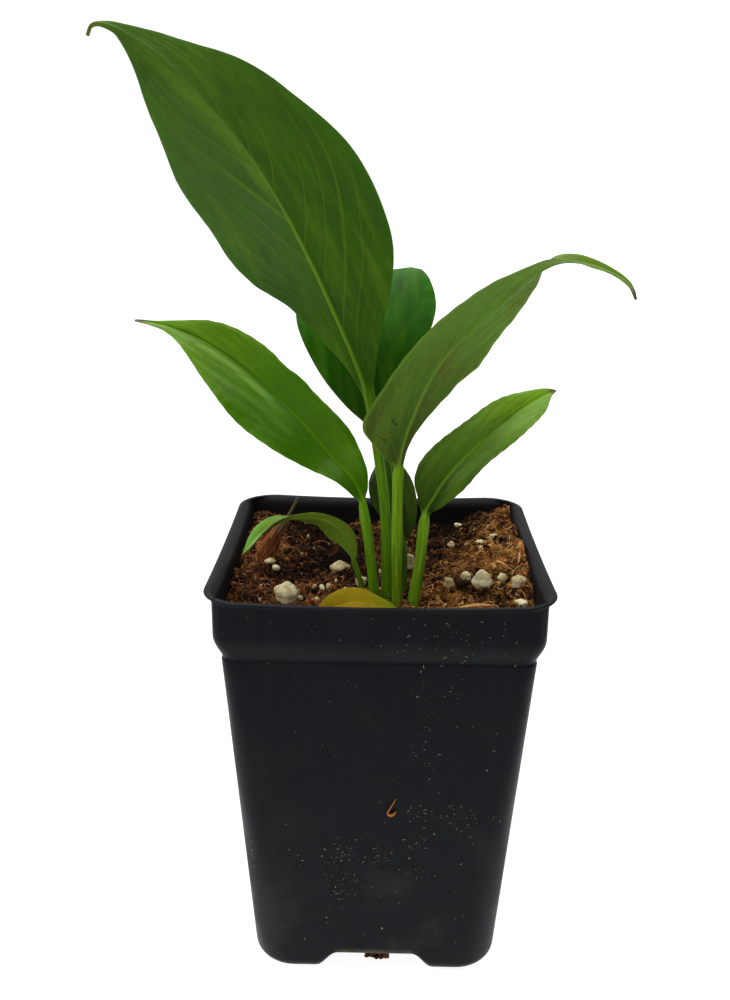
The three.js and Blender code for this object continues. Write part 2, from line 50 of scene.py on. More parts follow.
# ---------------------------------------------------------------- dimensions
RIM_WIDTH = 100.0
POT_HEIGHT = 132.6
LIP_DROP = 0.9            # height of the lip's outer edge
LIP_RADIUS = 12.0
RIM_DIP = 0.8             # sag of the lip at the middle of each side
BAND_HALF = 47.1          # collar below the lip, half width
BAND_BOTTOM = 121.0       # where the collar starts to curve in
LEDGE = 113.2             # where the collar meets the top of the tapered body
LEDGE_STEP = 0.25
BODY_TOP = 112.5
BODY_TOP_HALF = 45.1
BASE_HALF = 38.8
BASE_FILLET = 4.5
ARCH_FILLET = 1.3         # round of the wall's foot over the arches
CORNER_RADIUS = 4.0
BASE_CORNER_RADIUS = 13.0
WALL = 1.2
# Where the wall opens out to the lip: how far out, how far below the top, how much rounder, dip.
MOUTH = [
    (2.4, 0.1, 7.6, 0.8), (1.9, 0.3, 6.0, 0.8), (1.3, 0.7, 4.0, 0.8), (0.75, 1.15, 2.0, 0.8),
    (0.35, 1.7, 0.7, 0.8), (0.1, 2.5, 0.2, 0.45), (0.0, 3.6, 0.0, 0.0),
]
NOTCH_TOP = 7.0
NOTCH_TOP_HALF = 11.5
NOTCH_FOOT_HALF = 18.5
PAD_HALF = 16.0
SLOT_HALF = 6.0
SLOT_NEAR = 31.0
SLOT_FAR = 36.3
SOIL_LEVEL = 123.6
SOIL_GAP = 0.35           # play between soil and pot
BLADE = 0.45              # blade thickness
RIB_TAPER = 0.6           # share of the midrib that is lost by the tip
STEM_UNTIL = 1.2          # half width over stem radius: round below this,
BLADE_FROM = 3.2          # and flat above this

# Petiole: x, y, z, radius.  Blade: x, y, z, turn in degrees, left and right half widths.
LEAVES = {
    "leaf_tall": dict(
        side=1, fold=18, wave=0.5, waves=4, rib=1.1,
        petiole=[
            (2.0, -24.5, 112, 1.7), (2.0, -24.5, 124.7, 1.7), (1.6, -24.5, 142.7, 1.6),
            (0.9, -24.5, 153.5, 1.5), (-1.1, -24.0, 168.3, 1.4),
        ],
        blade=[
            (-4.3, -24.0, 185.1, 165, 2.0, 2.0), (-8.0, -25.0, 195.6, 170, 7.0, 4.2),
            (-14.4, -28.0, 210.8, 172, 18.4, 11.9), (-19.1, -30.0, 221.3, 176, 23.1, 18.7),
            (-27.4, -35.0, 237.9, 182, 23.7, 21.0), (-36.9, -40.0, 252.8, 190, 18.1, 19.6),
            (-46.5, -45.0, 263.6, 198, 12.5, 13.0), (-53.8, -47.0, 270.7, 203, 6.3, 8.2),
            (-62.7, -47.0, 276.0, 204, 2.0, 1.6), (-66.7, -46.6, 277.3, 203, 1.1, 0.9),
            (-69.4, -45.6, 277.1, 201, 0.8, 0.9), (-70.8, -44.5, 275.1, 200, 0.5, 0.5),
        ],
    ),
    "leaf_left": dict(
        side=1, fold=16, wave=0.4, waves=4, rib=0.9,
        petiole=[
            (-1.6, -27.6, 112, 1.6), (-1.6, -27.5, 125.7, 1.5), (-3.6, -27.5, 143.6, 1.4),
            (-5.0, -27.0, 152.5, 1.3),
        ],
        blade=[
            (-5.8, -26.8, 156.3, 28, 2.0, 2.0), (-9.0, -25.5, 162.2, 28, 5.0, 5.6),
            (-14.8, -21.5, 167.1, 27, 8.5, 8.8), (-23.0, -18.0, 175.6, 26, 14.2, 8.9),
            (-32.9, -13.0, 184.1, 26, 15.9, 8.8), (-43.7, -8.0, 191.9, 27, 13.0, 9.0),
            (-54.2, -4.0, 197.5, 30, 8.0, 6.4), (-63.6, -1.0, 200.5, 34, 2.8, 2.5),
            (-69.8, 1.0, 201.5, 38, 1.2, 1.0), (-74.6, 2.0, 201.9, 40, 0.5, 0.5),
        ],
    ),
    "leaf_right": dict(
        side=-1, fold=16, wave=0.35, waves=3, rib=1.0,
        petiole=[
            (4.9, -29.5, 112, 1.6), (4.9, -29.5, 125.9, 1.5), (4.6, -30.0, 144.8, 1.6),
            (4.5, -30.5, 157.6, 1.5), (4.6, -31.0, 165.4, 1.4),
        ],
        blade=[
            (5.3, -31.8, 171.2, 160, 1.8, 7.0), (6.0, -32.4, 174.4, 161, 2.4, 11.4),
            (6.9, -33.0, 177.7, 162, 3.4, 12.6), (11.0, -36.0, 189.5, 164, 8.7, 10.0),
            (15.7, -39.0, 198.7, 164, 12.8, 8.2), (22.6, -42.0, 206.8, 163, 10.1, 7.9),
            (30.2, -45.0, 214.9, 160, 7.6, 6.0), (37.6, -47.0, 221.9, 140, 4.4, 3.1),
            (43.0, -47.0, 224.5, 96, 2.6, 4.2), (49.3, -46.0, 224.3, 78, 2.2, 4.6),
            (56.1, -44.0, 222.0, 74, 1.9, 4.0), (61.8, -42.0, 218.4, 72, 1.5, 2.4),
            (63.9, -41.0, 215.1, 72, 0.5, 0.5),
        ],
    ),
    "leaf_back": dict(
        side=1, fold=10, wave=0.5, waves=3, rib=0.9,
        petiole=[
            (4.0, -19.0, 112, 1.1), (4.0, -19.0, 124.0, 1.1), (3.1, -19.0, 140.7, 1.1),
            (2.3, -18.0, 159.1, 1.1),
        ],
        blade=[
            (-0.7, -16.0, 173.0, 0, 2.0, 2.0), (-2.3, -13.0, 181.2, 0, 8.7, 7.3),
            (-4.2, -8.0, 192.4, 0, 16.0, 16.2), (-5.4, 0.0, 202.6, 0, 20.5, 21.4),
            (-5.8, 11.0, 210.4, 0, 19.5, 19.2), (-6.0, 23.0, 213.0, 0, 12.0, 11.2),
            (-6.0, 33.0, 210.5, 0, 4.0, 4.0), (-6.0, 39.0, 206.5, 0, 0.5, 0.5),
        ],
    ),
    "leaf_low_right": dict(
        side=-1, fold=16, wave=0.35, waves=3, rib=0.9,
        petiole=[
            (8.9, -29.5, 112, 1.8), (9.7, -29.5, 125.0, 1.7), (11.3, -29.0, 136.8, 1.6),
            (11.9, -28.5, 144.4, 1.5), (12.4, -28.0, 149.7, 1.4),
        ],
        blade=[
            (13.2, -27.5, 153.5, 45, 2.9, 3.0), (15.0, -27.0, 156.6, 45, 7.0, 5.8),
            (19.1, -25.0, 162.6, 45, 10.0, 9.4), (26.9, -21.0, 170.3, 45, 8.4, 9.7),
            (34.5, -17.0, 176.2, 45, 7.8, 11.0), (41.7, -13.0, 180.7, 46, 5.6, 8.4),
            (47.2, -10.0, 183.4, 47, 2.7, 3.8), (50.7, -9.0, 184.5, 48, 0.5, 0.5),
        ],
    ),
    "leaf_small_left": dict(
        side=1, fold=10, wave=0.4, waves=3, rib=0.6,
        petiole=[
            (-5.0, -17.6, 112, 0.8), (-5.4, -18.0, 124.4, 0.8), (-6.7, -18.5, 129.5, 0.8),
            (-7.8, -18.5, 133.0, 0.8),
        ],
        blade=[
            (-8.5, -18.5, 136.2, 150, 1.8, 2.2), (-10.4, -18.0, 141.1, 150, 3.2, 6.0),
            (-13.7, -17.5, 144.3, 147, 3.2, 7.2), (-19.1, -17.0, 146.5, 138, 2.4, 6.4),
            (-24.6, -16.0, 146.2, 124, 1.9, 5.2), (-28.3, -15.0, 145.2, 105, 2.2, 4.6),
            (-33.9, -13.0, 141.9, 70, 5.0, 5.0), (-38.4, -11.0, 137.6, 58, 4.0, 5.0),
            (-42.7, -9.0, 131.4, 55, 0.5, 0.5),
        ],
    ),
    "leaf_small_centre": dict(
        side=1, fold=10, wave=0.4, waves=2, rib=0.6,
        petiole=[
            (7.5, -17.5, 112, 0.8), (7.5, -17.5, 124.7, 0.8), (7.3, -17.0, 132.0, 0.8),
            (7.2, -16.5, 137.3, 0.8),
        ],
        blade=[
            (7.0, -16.0, 140.0, 0, 1.6, 1.6), (6.1, -14.0, 143.8, 0, 3.6, 4.6),
            (4.5, -9.0, 150.0, 0, 7.4, 6.4), (2.9, -4.0, 154.9, 0, 6.9, 5.8),
            (1.5, 2.0, 158.5, 0, 3.4, 3.2), (0.6, 6.0, 160.0, 0, 0.5, 0.5),
        ],
    ),
    "leaf_yellow": dict(
        side=1, fold=12, wave=0.3, waves=2, rib=0.5,
        petiole=[
            (9.5, -35.6, 116, 0.8), (9.0, -35.6, 120.5, 0.8), (6.6, -35.6, 124.3, 0.8),
        ],
        blade=[
            (4.0, -35.6, 125.8, 60, 1.2, 1.2), (-1.0, -35.4, 127.0, 60, 2.8, 2.8),
            (-6.0, -35.0, 127.6, 60, 4.3, 4.3), (-10.5, -35.4, 127.0, 56, 4.6, 4.6),
            (-15.0, -37.0, 125.9, 50, 3.0, 3.0), (-18.2, -38.4, 125.3, 46, 0.5, 0.5),
        ],
    ),
}

# Small bays and bulges of the margins: side (-1 or 1), distance from the foot of the blade, reach, amount.
MARGIN_BUMPS = {
    "leaf_tall": [(1, 49.0, 8.0, 0.9), (1, 33.0, 5.5, -0.9)],
    "leaf_left": [(-1, 85.0, 6.0, 0.5), (1, 84.0, 5.0, -0.4), (1, 44.0, 4.0, -0.5), (1, 37.0, 3.0, 0.3)],
    "leaf_right": [(-1, 24.5, 3.5, -0.8), (-1, 38.0, 6.0, 0.6), (-1, 61.5, 4.5, 1.0), (-1, 71.0, 7.0, 0.8)],
}

# Colours as they look, 0 to 255; upper and lower face have three, from the foot of the blade to its tip.
# blush: colour of soft clouds in the skin, and of the painted shade beside each side vein.  gloss: roughness
# of the upper face.
# veins: distance between side veins, how far they run on toward the tip as a share of the blade, and
# how much the skin swells between them.  bands: height of the long soft swellings beside the midrib.
# keel: strength of the midrib.  haze: a painted sheen; how much paler it makes the right half of the blade,
# and its colour.
# sheens: painted stripes of highlight or shade along the blade: from and to across it, from and to along it,
# share, colour.
# pale_edge: how pale the margin is.  shine: how much of the surroundings the skin mirrors.
# spots: dark specks: distance from the foot of the blade, place across it, size.
LOOKS = {
    "leaf_tall": dict(
        slot="leaf_dark", upper=[(50, 92, 18), (52, 98, 20), (70, 112, 22)],
        lower=[(47, 84, 8), (58, 96, 22), (76, 112, 36)], rib=(110, 148, 34), stem=(92, 138, 18),
        blush=(50, 76, 26), tip=(92, 92, 40), gloss=0.42, veins=(13.0, 0.5, 0.6), bands=0.25, keel=1.0,
        haze=(0.4, (70, 90, 56)), sheens=[(2.0, 24.0, -0.3, 0.42, 0.5, (34, 62, 14))],
    ),
    "leaf_left": dict(
        slot="leaf_fresh", upper=[(58, 98, 4), (54, 102, 2), (110, 152, 8)],
        lower=[(72, 108, 20), (78, 114, 24), (96, 130, 34)], rib=(84, 132, 12), stem=(98, 146, 20),
        blush=(48, 92, 4), tip=(88, 70, 54), gloss=0.3, veins=(13.0, 0.5, 0.2), bands=0.55, keel=1.0,
        sheens=[(-4.2, -0.8, 0.36, 0.86, 0.45, (122, 162, 62)), (-0.7, 0.7, 0.4, 0.95, 0.5, (40, 78, 4))],
        pale_edge=0.2,
    ),
    "leaf_right": dict(
        slot="leaf_pale", upper=[(75, 118, 13), (83, 127, 15), (110, 152, 19)],
        lower=[(50, 72, 22), (84, 126, 40), (116, 152, 68)], rib=(112, 144, 46), stem=(114, 154, 22),
        blush=(86, 88, 34), tip=(70, 58, 34), gloss=0.42, veins=(12.0, 0.5, 0.35), bands=0.3, keel=0.55,
        haze=(0.3, (104, 128, 66)), pale_edge=0.45,
        spots=[
            (8.6, 4.8, 0.55), (7.6, 3.7, 0.5), (8.0, 4.3, 0.3), (18.7, 6.5, 0.35), (3.5, 7.3, 0.4),
            (2.6, 5.2, 0.5), (3.0, 6.2, 0.3), (5.2, 4.4, 0.3), (13.6, 3.7, 0.25),
        ],
    ),
    "leaf_back": dict(
        # upper face darkened toward the foot of the blade: painted shadow cast by leaf_tall
        slot="leaf_dark", upper=[(8, 26, 2), (34, 92, 6), (40, 110, 8)],
        lower=[(56, 90, 18), (60, 96, 22), (70, 104, 26)], rib=(86, 130, 26), stem=(70, 106, 18),
        blush=(24, 60, 4), tip=(60, 90, 20), gloss=0.5, veins=(13.0, 0.45, 0.4), bands=0.8, keel=1.0,
        sheens=[(2.0, 5.0, 0.3, 0.8, 0.5, (84, 132, 70)), (-6.0, -3.5, 0.4, 0.75, 0.35, (70, 120, 50))],
        shine=0.07,
    ),
    "leaf_low_right": dict(
        slot="leaf_fresh", upper=[(16, 30, 2), (64, 98, 8), (110, 153, 8)],
        lower=[(76, 108, 24), (86, 120, 28), (106, 138, 36)], rib=(108, 146, 30), stem=(110, 152, 28),
        blush=(50, 80, 8), tip=(74, 62, 32), gloss=0.38, veins=(11.0, 0.5, 0.25), bands=0.3, keel=0.7,
        sheens=[(0.5, 10.0, 0.5, 1.2, 0.45, (80, 126, 4))],
    ),
    "leaf_small_left": dict(
        # the lower face is painted lighter than the upper: painted light that makes up for the shade below
        # the leaf
        slot="leaf_pale", upper=[(92, 124, 30), (94, 134, 30), (96, 164, 30)],
        lower=[(110, 144, 40), (118, 146, 44), (120, 168, 44)], rib=(100, 134, 30), stem=(96, 134, 28),
        blush=(98, 100, 26), tip=(92, 130, 30), gloss=0.42, veins=(8.0, 0.5, 0.15), bands=0.2, keel=0.35,
    ),
    "leaf_small_centre": dict(
        # colours darkened: painted shade, where this small leaf sits in the shadow of the larger ones
        slot="leaf_dark", upper=[(30, 50, 5), (24, 42, 4), (22, 40, 4)],
        lower=[(48, 76, 16), (44, 70, 14), (44, 70, 14)], rib=(92, 124, 40), stem=(84, 116, 36),
        blush=(34, 52, 8), tip=(60, 60, 24), gloss=0.4, veins=(8.0, 0.45, 0.3), bands=0.3, keel=1.0,
    ),
    "leaf_yellow": dict(
        slot="leaf_yellow", upper=[(112, 132, 10), (146, 122, 4), (130, 110, 4)],
        lower=[(121, 132, 11), (149, 128, 7), (137, 111, 5)], rib=(158, 144, 20), stem=(116, 136, 24),
        blush=(150, 104, 6), tip=(130, 88, 20), gloss=0.5, veins=(6.0, 0.5, 0.2), bands=0.15, keel=0.2,
    ),
}

# Path of the old stalk: x, y, z, radius.
STALK = [
    (-37.9, 7.0, 116, 2.0), (-37.1, 8.0, 125.6, 1.9), (-35.8, 8.6, 129.3, 1.9), (-33.9, 9.3, 132.7, 1.5),
    (-32.3, 9.8, 134.7, 0.8), (-30.0, 10.8, 138.0, 0.5), (-26.9, 12.0, 143.8, 0.4),
]

# Perlite grains: x, y, height of the middle above the soil, half sizes in x, y, z.
PERLITE = [
    (-27.6, -27.2, 2.5, 3.4, 2.9, 3.7), (30.9, -17.3, 1.8, 3.0, 2.6, 3.1), (41.0, -27.4, 0.1, 2.5, 1.8, 1.3),
    (-12.9, 2.4, 0.2, 3.2, 2.7, 2.2), (9.5, -0.3, 2.1, 1.6, 1.4, 3.3), (41.6, -20.3, 1.2, 2.2, 1.9, 2.2),
    (37.4, -14.7, 0.8, 1.5, 1.3, 1.5), (38.0, 17.4, 0.4, 1.6, 1.3, 1.4), (33.9, 19.3, 0.0, 1.8, 1.6, 1.1),
    (24.0, 20.8, 0.7, 1.2, 1.1, 1.3), (26.7, -9.5, 0.5, 1.7, 1.5, 1.7), (-35.6, 2.4, 0.5, 1.6, 1.4, 1.2),
    (21.0, -16.2, 1.0, 1.7, 1.4, 1.9), (-5.8, -13.2, 0.8, 1.8, 1.5, 1.9),
]


# ---------------------------------------------------------------- numbers
def smooth(a, b, x):
    t = np.clip((np.asarray(x, float) - a) / (b - a), 0, 1)
    return t * t * (3 - 2 * t)


def unit(v):
    return v / np.linalg.norm(v, axis=-1, keepdims=True)


def rough_at(points, size, octaves=3, seed=0.0):
    """Fractal noise, about -1 to 1, at each point, with lumps of that size."""
    shift = Vector((seed * 7.3, seed * 3.1, seed * 5.7))
    return np.array([noise.fractal(Vector(p) / size + shift, 0.9, 2.1, octaves) for p in points])


def linear(colour):
    """Scene-linear RGBA of a colour given as it looks, 0 to 255."""
    c = np.asarray(colour, float) / 255
    low = c / 12.92
    high = ((c + 0.055) / 1.055) ** 2.4
    return (*np.where(c <= 0.04045, low, high), 1.0)


# ---------------------------------------------------------------- meshes
def add_object(name, data):
    made = bpy.data.objects.new(name, data)
    bpy.context.scene.collection.objects.link(made)
    return made


def new_piece(name, points, faces, material, sharp, slot, replaces=(), **values):
    """A piece that rides on the root body. values are numbers for each point, kept as attributes."""
    mesh = bpy.data.meshes.new(name)
    mesh.from_pydata((np.asarray(points, float) * MM).tolist(), [], faces)
    for key, value in values.items():
        mesh.attributes.new(key, "FLOAT", "POINT").data.foreach_set("value", np.asarray(value, np.float32))
    mesh.materials.append(material)
    mesh.shade_smooth()
    mesh.set_sharp_from_angle(angle=math.radians(sharp))
    piece = add_object(name, mesh)
    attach(piece, "root")
    if replaces:
        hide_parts(*replaces)


def per_body(values, points):
    """One value for each body, given to all of that body's points."""
    return np.repeat(values, len(points) // len(values))


def ring_faces(rings, count, first=0):
    """Quads between rings of count points, one after the other."""
    i = np.arange(rings - 1)[:, None] * count
    j = np.arange(count)[None, :]
    a = first + i + j
    b = first + i + (j + 1) % count
    return np.stack([a, b, b + count, a + count], -1).reshape(-1, 4).tolist()


def ball(level):
    """Points and triangles of a unit ball."""
    shape = bmesh.new()
    bmesh.ops.create_icosphere(shape, subdivisions=level, radius=1)
    points = np.array([v.co for v in shape.verts])
    faces = np.array([[v.index for v in f.verts] for f in shape.faces])
    shape.free()
    return points, faces


def copies(faces, count, size):
    """The same faces for count bodies of size points each."""
    return (np.asarray(faces)[None] + np.arange(count)[:, None, None] * size).reshape(-1, len(faces[0]))


def lumps(centres, sizes, level, relief):
    """Irregular closed lumps: centres and half sizes have one row of three for each lump."""
    points, faces = ball(level)
    count = len(centres)
    shape = np.ones((count, len(points)))
    for freq, share in ((2.2, 0.6), (4.1, 0.4)):
        ways = unit(rng.normal(size=(count, 3)))
        shift = rng.uniform(0, 2 * math.pi, (count, 1))
        shape = shape + relief * share * np.sin(freq * ways @ points.T + shift)
    turned = points[None] * shape[..., None] * sizes[:, None]
    angle = rng.uniform(0, 2 * math.pi, (count, 1))
    x = turned[..., 0] * np.cos(angle) - turned[..., 1] * np.sin(angle)
    y = turned[..., 0] * np.sin(angle) + turned[..., 1] * np.cos(angle)
    moved = np.stack([x, y, turned[..., 2]], -1) + centres[:, None]
    return moved.reshape(-1, 3), copies(faces, count, len(points))


SKEW = np.array([0.13, 0.21, 0.97])   # a direction that hardly any tube follows


def tubes(paths, radii, sides=4):
    """Closed tubes: paths is tubes x stations x 3, radii is tubes x stations."""
    count, stations = radii.shape
    tangent = unit(np.gradient(paths, axis=1))
    flank = unit(np.cross(tangent, SKEW))
    over = np.cross(tangent, flank)
    a = np.arange(sides) / sides * 2 * math.pi
    ring = flank[:, :, None] * np.cos(a)[:, None] + over[:, :, None] * np.sin(a)[:, None]
    points = paths[:, :, None] + ring * radii[:, :, None, None]
    quads = ring_faces(stations, sides)
    last = (stations - 1) * sides
    fan = [[0, k, k + 1, 0] for k in range(1, sides - 1)]
    fan += [[last, last + k + 1, last + k, last] for k in range(1, sides - 1)]
    faces = copies(quads + fan, count, stations * sides)
    return points.reshape(-1, 3), [list(dict.fromkeys(face)) for face in faces.tolist()]


# ---------------------------------------------------------------- materials
class Shader:
    """A material made of nodes."""

    def __init__(self, name):
        self.material = bpy.data.materials.new(name)
        self.material.use_nodes = True
        self.tree = self.material.node_tree
        self.out = self.tree.nodes["Principled BSDF"]

    def node(self, kind, inputs=None, **settings):
        made = self.tree.nodes.new("ShaderNode" + kind)
        for key, value in settings.items():
            setattr(made, key, value)
        for key, value in (inputs or {}).items():
            self.plug(made.inputs[key], value)
        return made

    def plug(self, socket, value):
        if isinstance(value, bpy.types.NodeSocket):
            self.tree.links.new(value, socket)
        else:
            socket.default_value = value

    def set(self, **values):
        for key, value in values.items():
            self.plug(self.out.inputs[key.replace("_", " ")], value)

    def value(self, name):
        return self.node("Attribute", attribute_name=name).outputs["Fac"]

    def place(self):
        return self.node("TexCoord").outputs["Object"]

    def math(self, operation, a, b=0.0):
        return self.node("Math", {0: a, 1: b}, operation=operation).outputs[0]

    def times(self, first, *others):
        for other in others:
            first = self.math("MULTIPLY", first, other)
        return first

    def plus(self, a, b):
        return self.math("ADD", a, b)

    def size_of(self, a):
        return self.math("ABSOLUTE", a)

    def span(self, value, low, high, to_low=0.0, to_high=1.0):
        inputs = {0: value, 1: low, 2: high, 3: to_low, 4: to_high}
        return self.node("MapRange", inputs, interpolation_type="SMOOTHSTEP").outputs[0]

    def mix(self, share, a, b):
        return self.node("Mix", {0: share, 6: a, 7: b}, data_type="RGBA").outputs[2]

    def ramp(self, value, stops):
        made = self.node("ValToRGB", {0: value})
        bar = made.color_ramp.elements
        while len(bar) < len(stops):
            bar.new(0.5)
        for slot, (at, colour) in zip(bar, stops):
            slot.position = at
            slot.color = linear(colour)
        return made.outputs[0]

    def noise(self, size, detail=3.0, roughness=0.55, over=None, unit_size=MM):
        """Noise from 0 to 1 with lumps of that size, over the piece itself or over the given vector."""
        inputs = {"Scale": 1 / (size * unit_size), "Detail": detail, "Roughness": roughness}
        return self.node("TexNoise", {**inputs, "Vector": over or self.place()}).outputs["Fac"]

    def noise_mm(self, over, size, detail=2.0, roughness=0.55):
        """Noise over a vector that is in millimetres."""
        return self.noise(size, detail, roughness, over, 1.0)

    def cells(self, size):
        """Distance from the middle of the nearest cell, in cells of that size."""
        return self.node("TexVoronoi", {"Scale": 1 / (size * MM), "Vector": self.place()}).outputs["Distance"]

    def join(self, x, y, z=0.0):
        return self.node("CombineXYZ", {0: x, 1: y, 2: z}).outputs[0]

    def bump(self, height, depth, strength=1.0):
        return self.node("Bump", {"Strength": strength, "Distance": depth * MM, "Height": height}).outputs[0]


LEAF_NUMBERS = ("along", "across", "run", "span", "face", "stem", "phase", "rib_width")
COLOUR_STOPS = (0.0, 0.45, 1.0)       # where along the blade the three colours of a look stand
DEEP_GREEN = (32, 56, 8)
SPECK_BROWN = (38, 26, 16)
MARGIN_BROWN = (60, 54, 24)
SKIN_SHINE = 0.16
SKIN_TINT = (0.8, 1.0, 0.3, 1.0)


def leaf_ground(s, at, look):
    """Colour of the skin with its clouds, long painted highlight streaks and fine grain, and the grain."""
    upper = s.ramp(at.along, list(zip(COLOUR_STOPS, look["upper"])))
    lower = s.ramp(at.along, list(zip(COLOUR_STOPS, look["lower"])))
    colour = s.mix(at.face, lower, upper)
    clouds = s.span(s.noise_mm(at.skin, 8.0, 3.0), 0.42, 0.7, 0.0, 0.55)
    colour = s.mix(clouds, colour, linear(look["blush"]))
    # long pale streaks toward the rib colour: painted highlight streaks
    bands = s.noise_mm(s.join(s.times(at.run, 0.13), at.span, 3.0), 5.0)
    colour = s.mix(s.span(bands, 0.5, 0.75, 0.0, 0.3), colour, linear(look["rib"]))
    grain = s.noise_mm(at.skin, 1.1, 5.0, 0.7)
    return s.mix(s.span(grain, 0.35, 0.75, 0.0, 0.26), colour, linear(DEEP_GREEN)), grain


def leaf_spots(s, at, colour, spots):
    """Dark specks with ragged edges."""
    for run, span, size in spots:
        gone = s.math("SUBTRACT", at.run, run)
        aside = s.math("SUBTRACT", at.span, span)
        far = s.math("SQRT", s.plus(s.times(gone, gone), s.times(aside, aside)))
        far = s.plus(far, s.span(s.noise(0.9, 2.0), 0.3, 0.7, -0.3 * size, 0.3 * size))
        colour = s.mix(s.span(far, size, 0.6 * size, 0.0, 0.85), colour, linear(SPECK_BROWN))
    return colour


def leaf_sheen_haze(s, at, colour, share, haze):
    """A paler right half of the blade, in soft clouds: a painted sheen."""
    within = s.times(s.span(at.span, 0.0, 5.0), s.span(at.along, 0.95, 0.6), s.span(at.along, 0.12, 0.4))
    soft = s.span(s.noise_mm(at.skin, 14.0), 0.3, 0.7, 0.5, 1.0)
    return s.mix(s.times(within, s.times(soft, share)), colour, linear(haze))


def leaf_sheens(s, at, colour, sheens):
    """Soft stripes of light or shade along the blade."""
    for near, far, start, end, share, sheen in sheens:
        middle, half = (near + far) / 2, abs(far - near) / 2
        off = s.size_of(s.math("SUBTRACT", at.span, middle))
        cloudy = s.span(s.noise_mm(at.skin, 6.0), 0.3, 0.6, 0.3, 1.0)
        stripe = s.times(s.span(off, half, 0.3 * half), s.span(at.along, start, start + 0.12))
        stripe = s.times(stripe, s.span(at.along, end, end - 0.15), cloudy, share)
        colour = s.mix(stripe, colour, linear(sheen))
    return colour


def leaf_veins(s, at, colour, look):
    """Side veins, each with painted shade beside it, and the midrib."""
    part = s.math("FRACT", at.phase)
    near_vein = s.size_of(s.math("SUBTRACT", part, 0.5))
    inner = s.span(s.size_of(at.across), 0.97, 0.75)
    kept = s.times(inner, s.span(s.noise_mm(at.skin, 16.0), 0.36, 0.6, 0.25, 1.0))
    vein_colour = s.mix(at.face, linear(look["rib"]), linear(look["blush"]))
    colour = s.mix(s.times(s.span(near_vein, 0.07, 0.0), kept, 0.42), colour, vein_colour)
    # painted shade on one side of each vein, where puckered skin would lie in shade
    shade = s.times(s.span(part, 0.95, 0.55), s.span(part, 0.4, 0.52), kept, 0.34)
    colour = s.mix(shade, colour, linear(look["blush"]))
    from_rib = s.math("DIVIDE", s.size_of(at.span), at.rib_width)
    fade = s.span(at.along, 0.7, 0.3, 0.0, 0.75 * look["keel"] + 0.05)
    return s.mix(s.times(s.span(from_rib, 0.85, 0.25), fade), colour, linear(look["rib"]))


def leaf_ends(s, at, colour, look):
    """The streaked stem, the margin and the tip."""
    streaks = s.noise_mm(s.join(s.times(at.run, 0.05), at.span), 0.7, 4.0, 0.6)
    dark_stem = tuple(0.72 * v for v in look["stem"])
    stem_colour = s.mix(s.span(streaks, 0.35, 0.7), linear(look["stem"]), linear(dark_stem))
    colour = s.mix(at.stem, colour, stem_colour)
    aside, blade = s.size_of(at.across), s.span(at.stem, 0.5, 0.0)
    pale = s.times(s.span(aside, 0.9, 0.97, 0.0, look.get("pale_edge", 0.0)), blade)
    colour = s.mix(pale, colour, linear(look["rib"]))
    colour = s.mix(s.times(s.span(aside, 0.975, 1.0, 0.0, 0.5), blade), colour, linear(MARGIN_BROWN))
    return s.mix(s.span(at.along, 0.94, 0.99), colour, linear(look["tip"]))


def leaf_material(name, look):
    """Waxy skin with a midrib and soft side veins, from numbers that follow the leaf."""
    s = Shader(name)
    at = SimpleNamespace(**{key: s.value(key) for key in LEAF_NUMBERS})
    at.skin = s.join(s.times(at.run, 0.4), at.span)
    colour, grain = leaf_ground(s, at, look)
    colour = leaf_spots(s, at, colour, look.get("spots", []))
    # painted sheen over the right half of the blade
    if "haze" in look:
        colour = leaf_sheen_haze(s, at, colour, *look["haze"])
    colour = leaf_sheens(s, at, colour, look.get("sheens", []))
    colour = leaf_veins(s, at, colour, look)
    colour = leaf_ends(s, at, colour, look)
    gloss = s.span(grain, 0.2, 0.8, look["gloss"] - 0.05, look["gloss"] + 0.08)
    dull = s.span(grain, 0.2, 0.8, look["gloss"] + 0.1, look["gloss"] + 0.24)
    pores = s.noise_mm(s.join(s.times(at.run, 0.5), at.span), 0.4, 2.0, 0.6)
    s.set(
        Base_Color=colour, Roughness=s.node("Mix", {0: at.face, 2: dull, 3: gloss}).outputs[0],
        Normal=s.bump(pores, 0.04, 0.4), Specular_IOR_Level=look.get("shine", SKIN_SHINE),
        Specular_Tint=SKIN_TINT, Subsurface_Weight=0.08, Subsurface_Scale=0.0015,
        Subsurface_Radius=(0.4, 1.0, 0.15),
    )
    return s.material


def pot_dirt_and_highlight(s, east, north, height, colour):
    """Soil on the inside, a painted highlight over the arches, and dust specks. Distances are metres."""
    reach = s.math("MAXIMUM", s.size_of(east), s.size_of(north))
    inside = s.times(s.span(reach, 0.0466, 0.0460), s.span(height, 0.122, 0.123))
    soiled = s.times(inside, s.span(s.noise(9.0, 4.0), 0.35, 0.7, 0.1, 0.75))
    colour = s.mix(soiled, colour, linear((30, 24, 18)))
    # painted highlight: the floor's reflection in the rounded edge over each arch
    arch_highlight = s.times(s.span(height, 0.0062, 0.0074), s.span(height, 0.0098, 0.0080))
    arch_highlight = s.times(arch_highlight, s.span(s.size_of(east), 0.0135, 0.0105))
    arch_highlight = s.times(arch_highlight, s.span(s.noise(3.0, 3.0), 0.3, 0.6, 0.15, 0.5))
    colour = s.mix(arch_highlight, colour, linear((104, 98, 78)))
    dust = s.times(s.span(s.cells(0.9), 0.18, 0.05), s.span(s.noise(7.0, 3.0), 0.48, 0.72), 0.4)
    return s.mix(dust, colour, linear((116, 110, 100))), inside


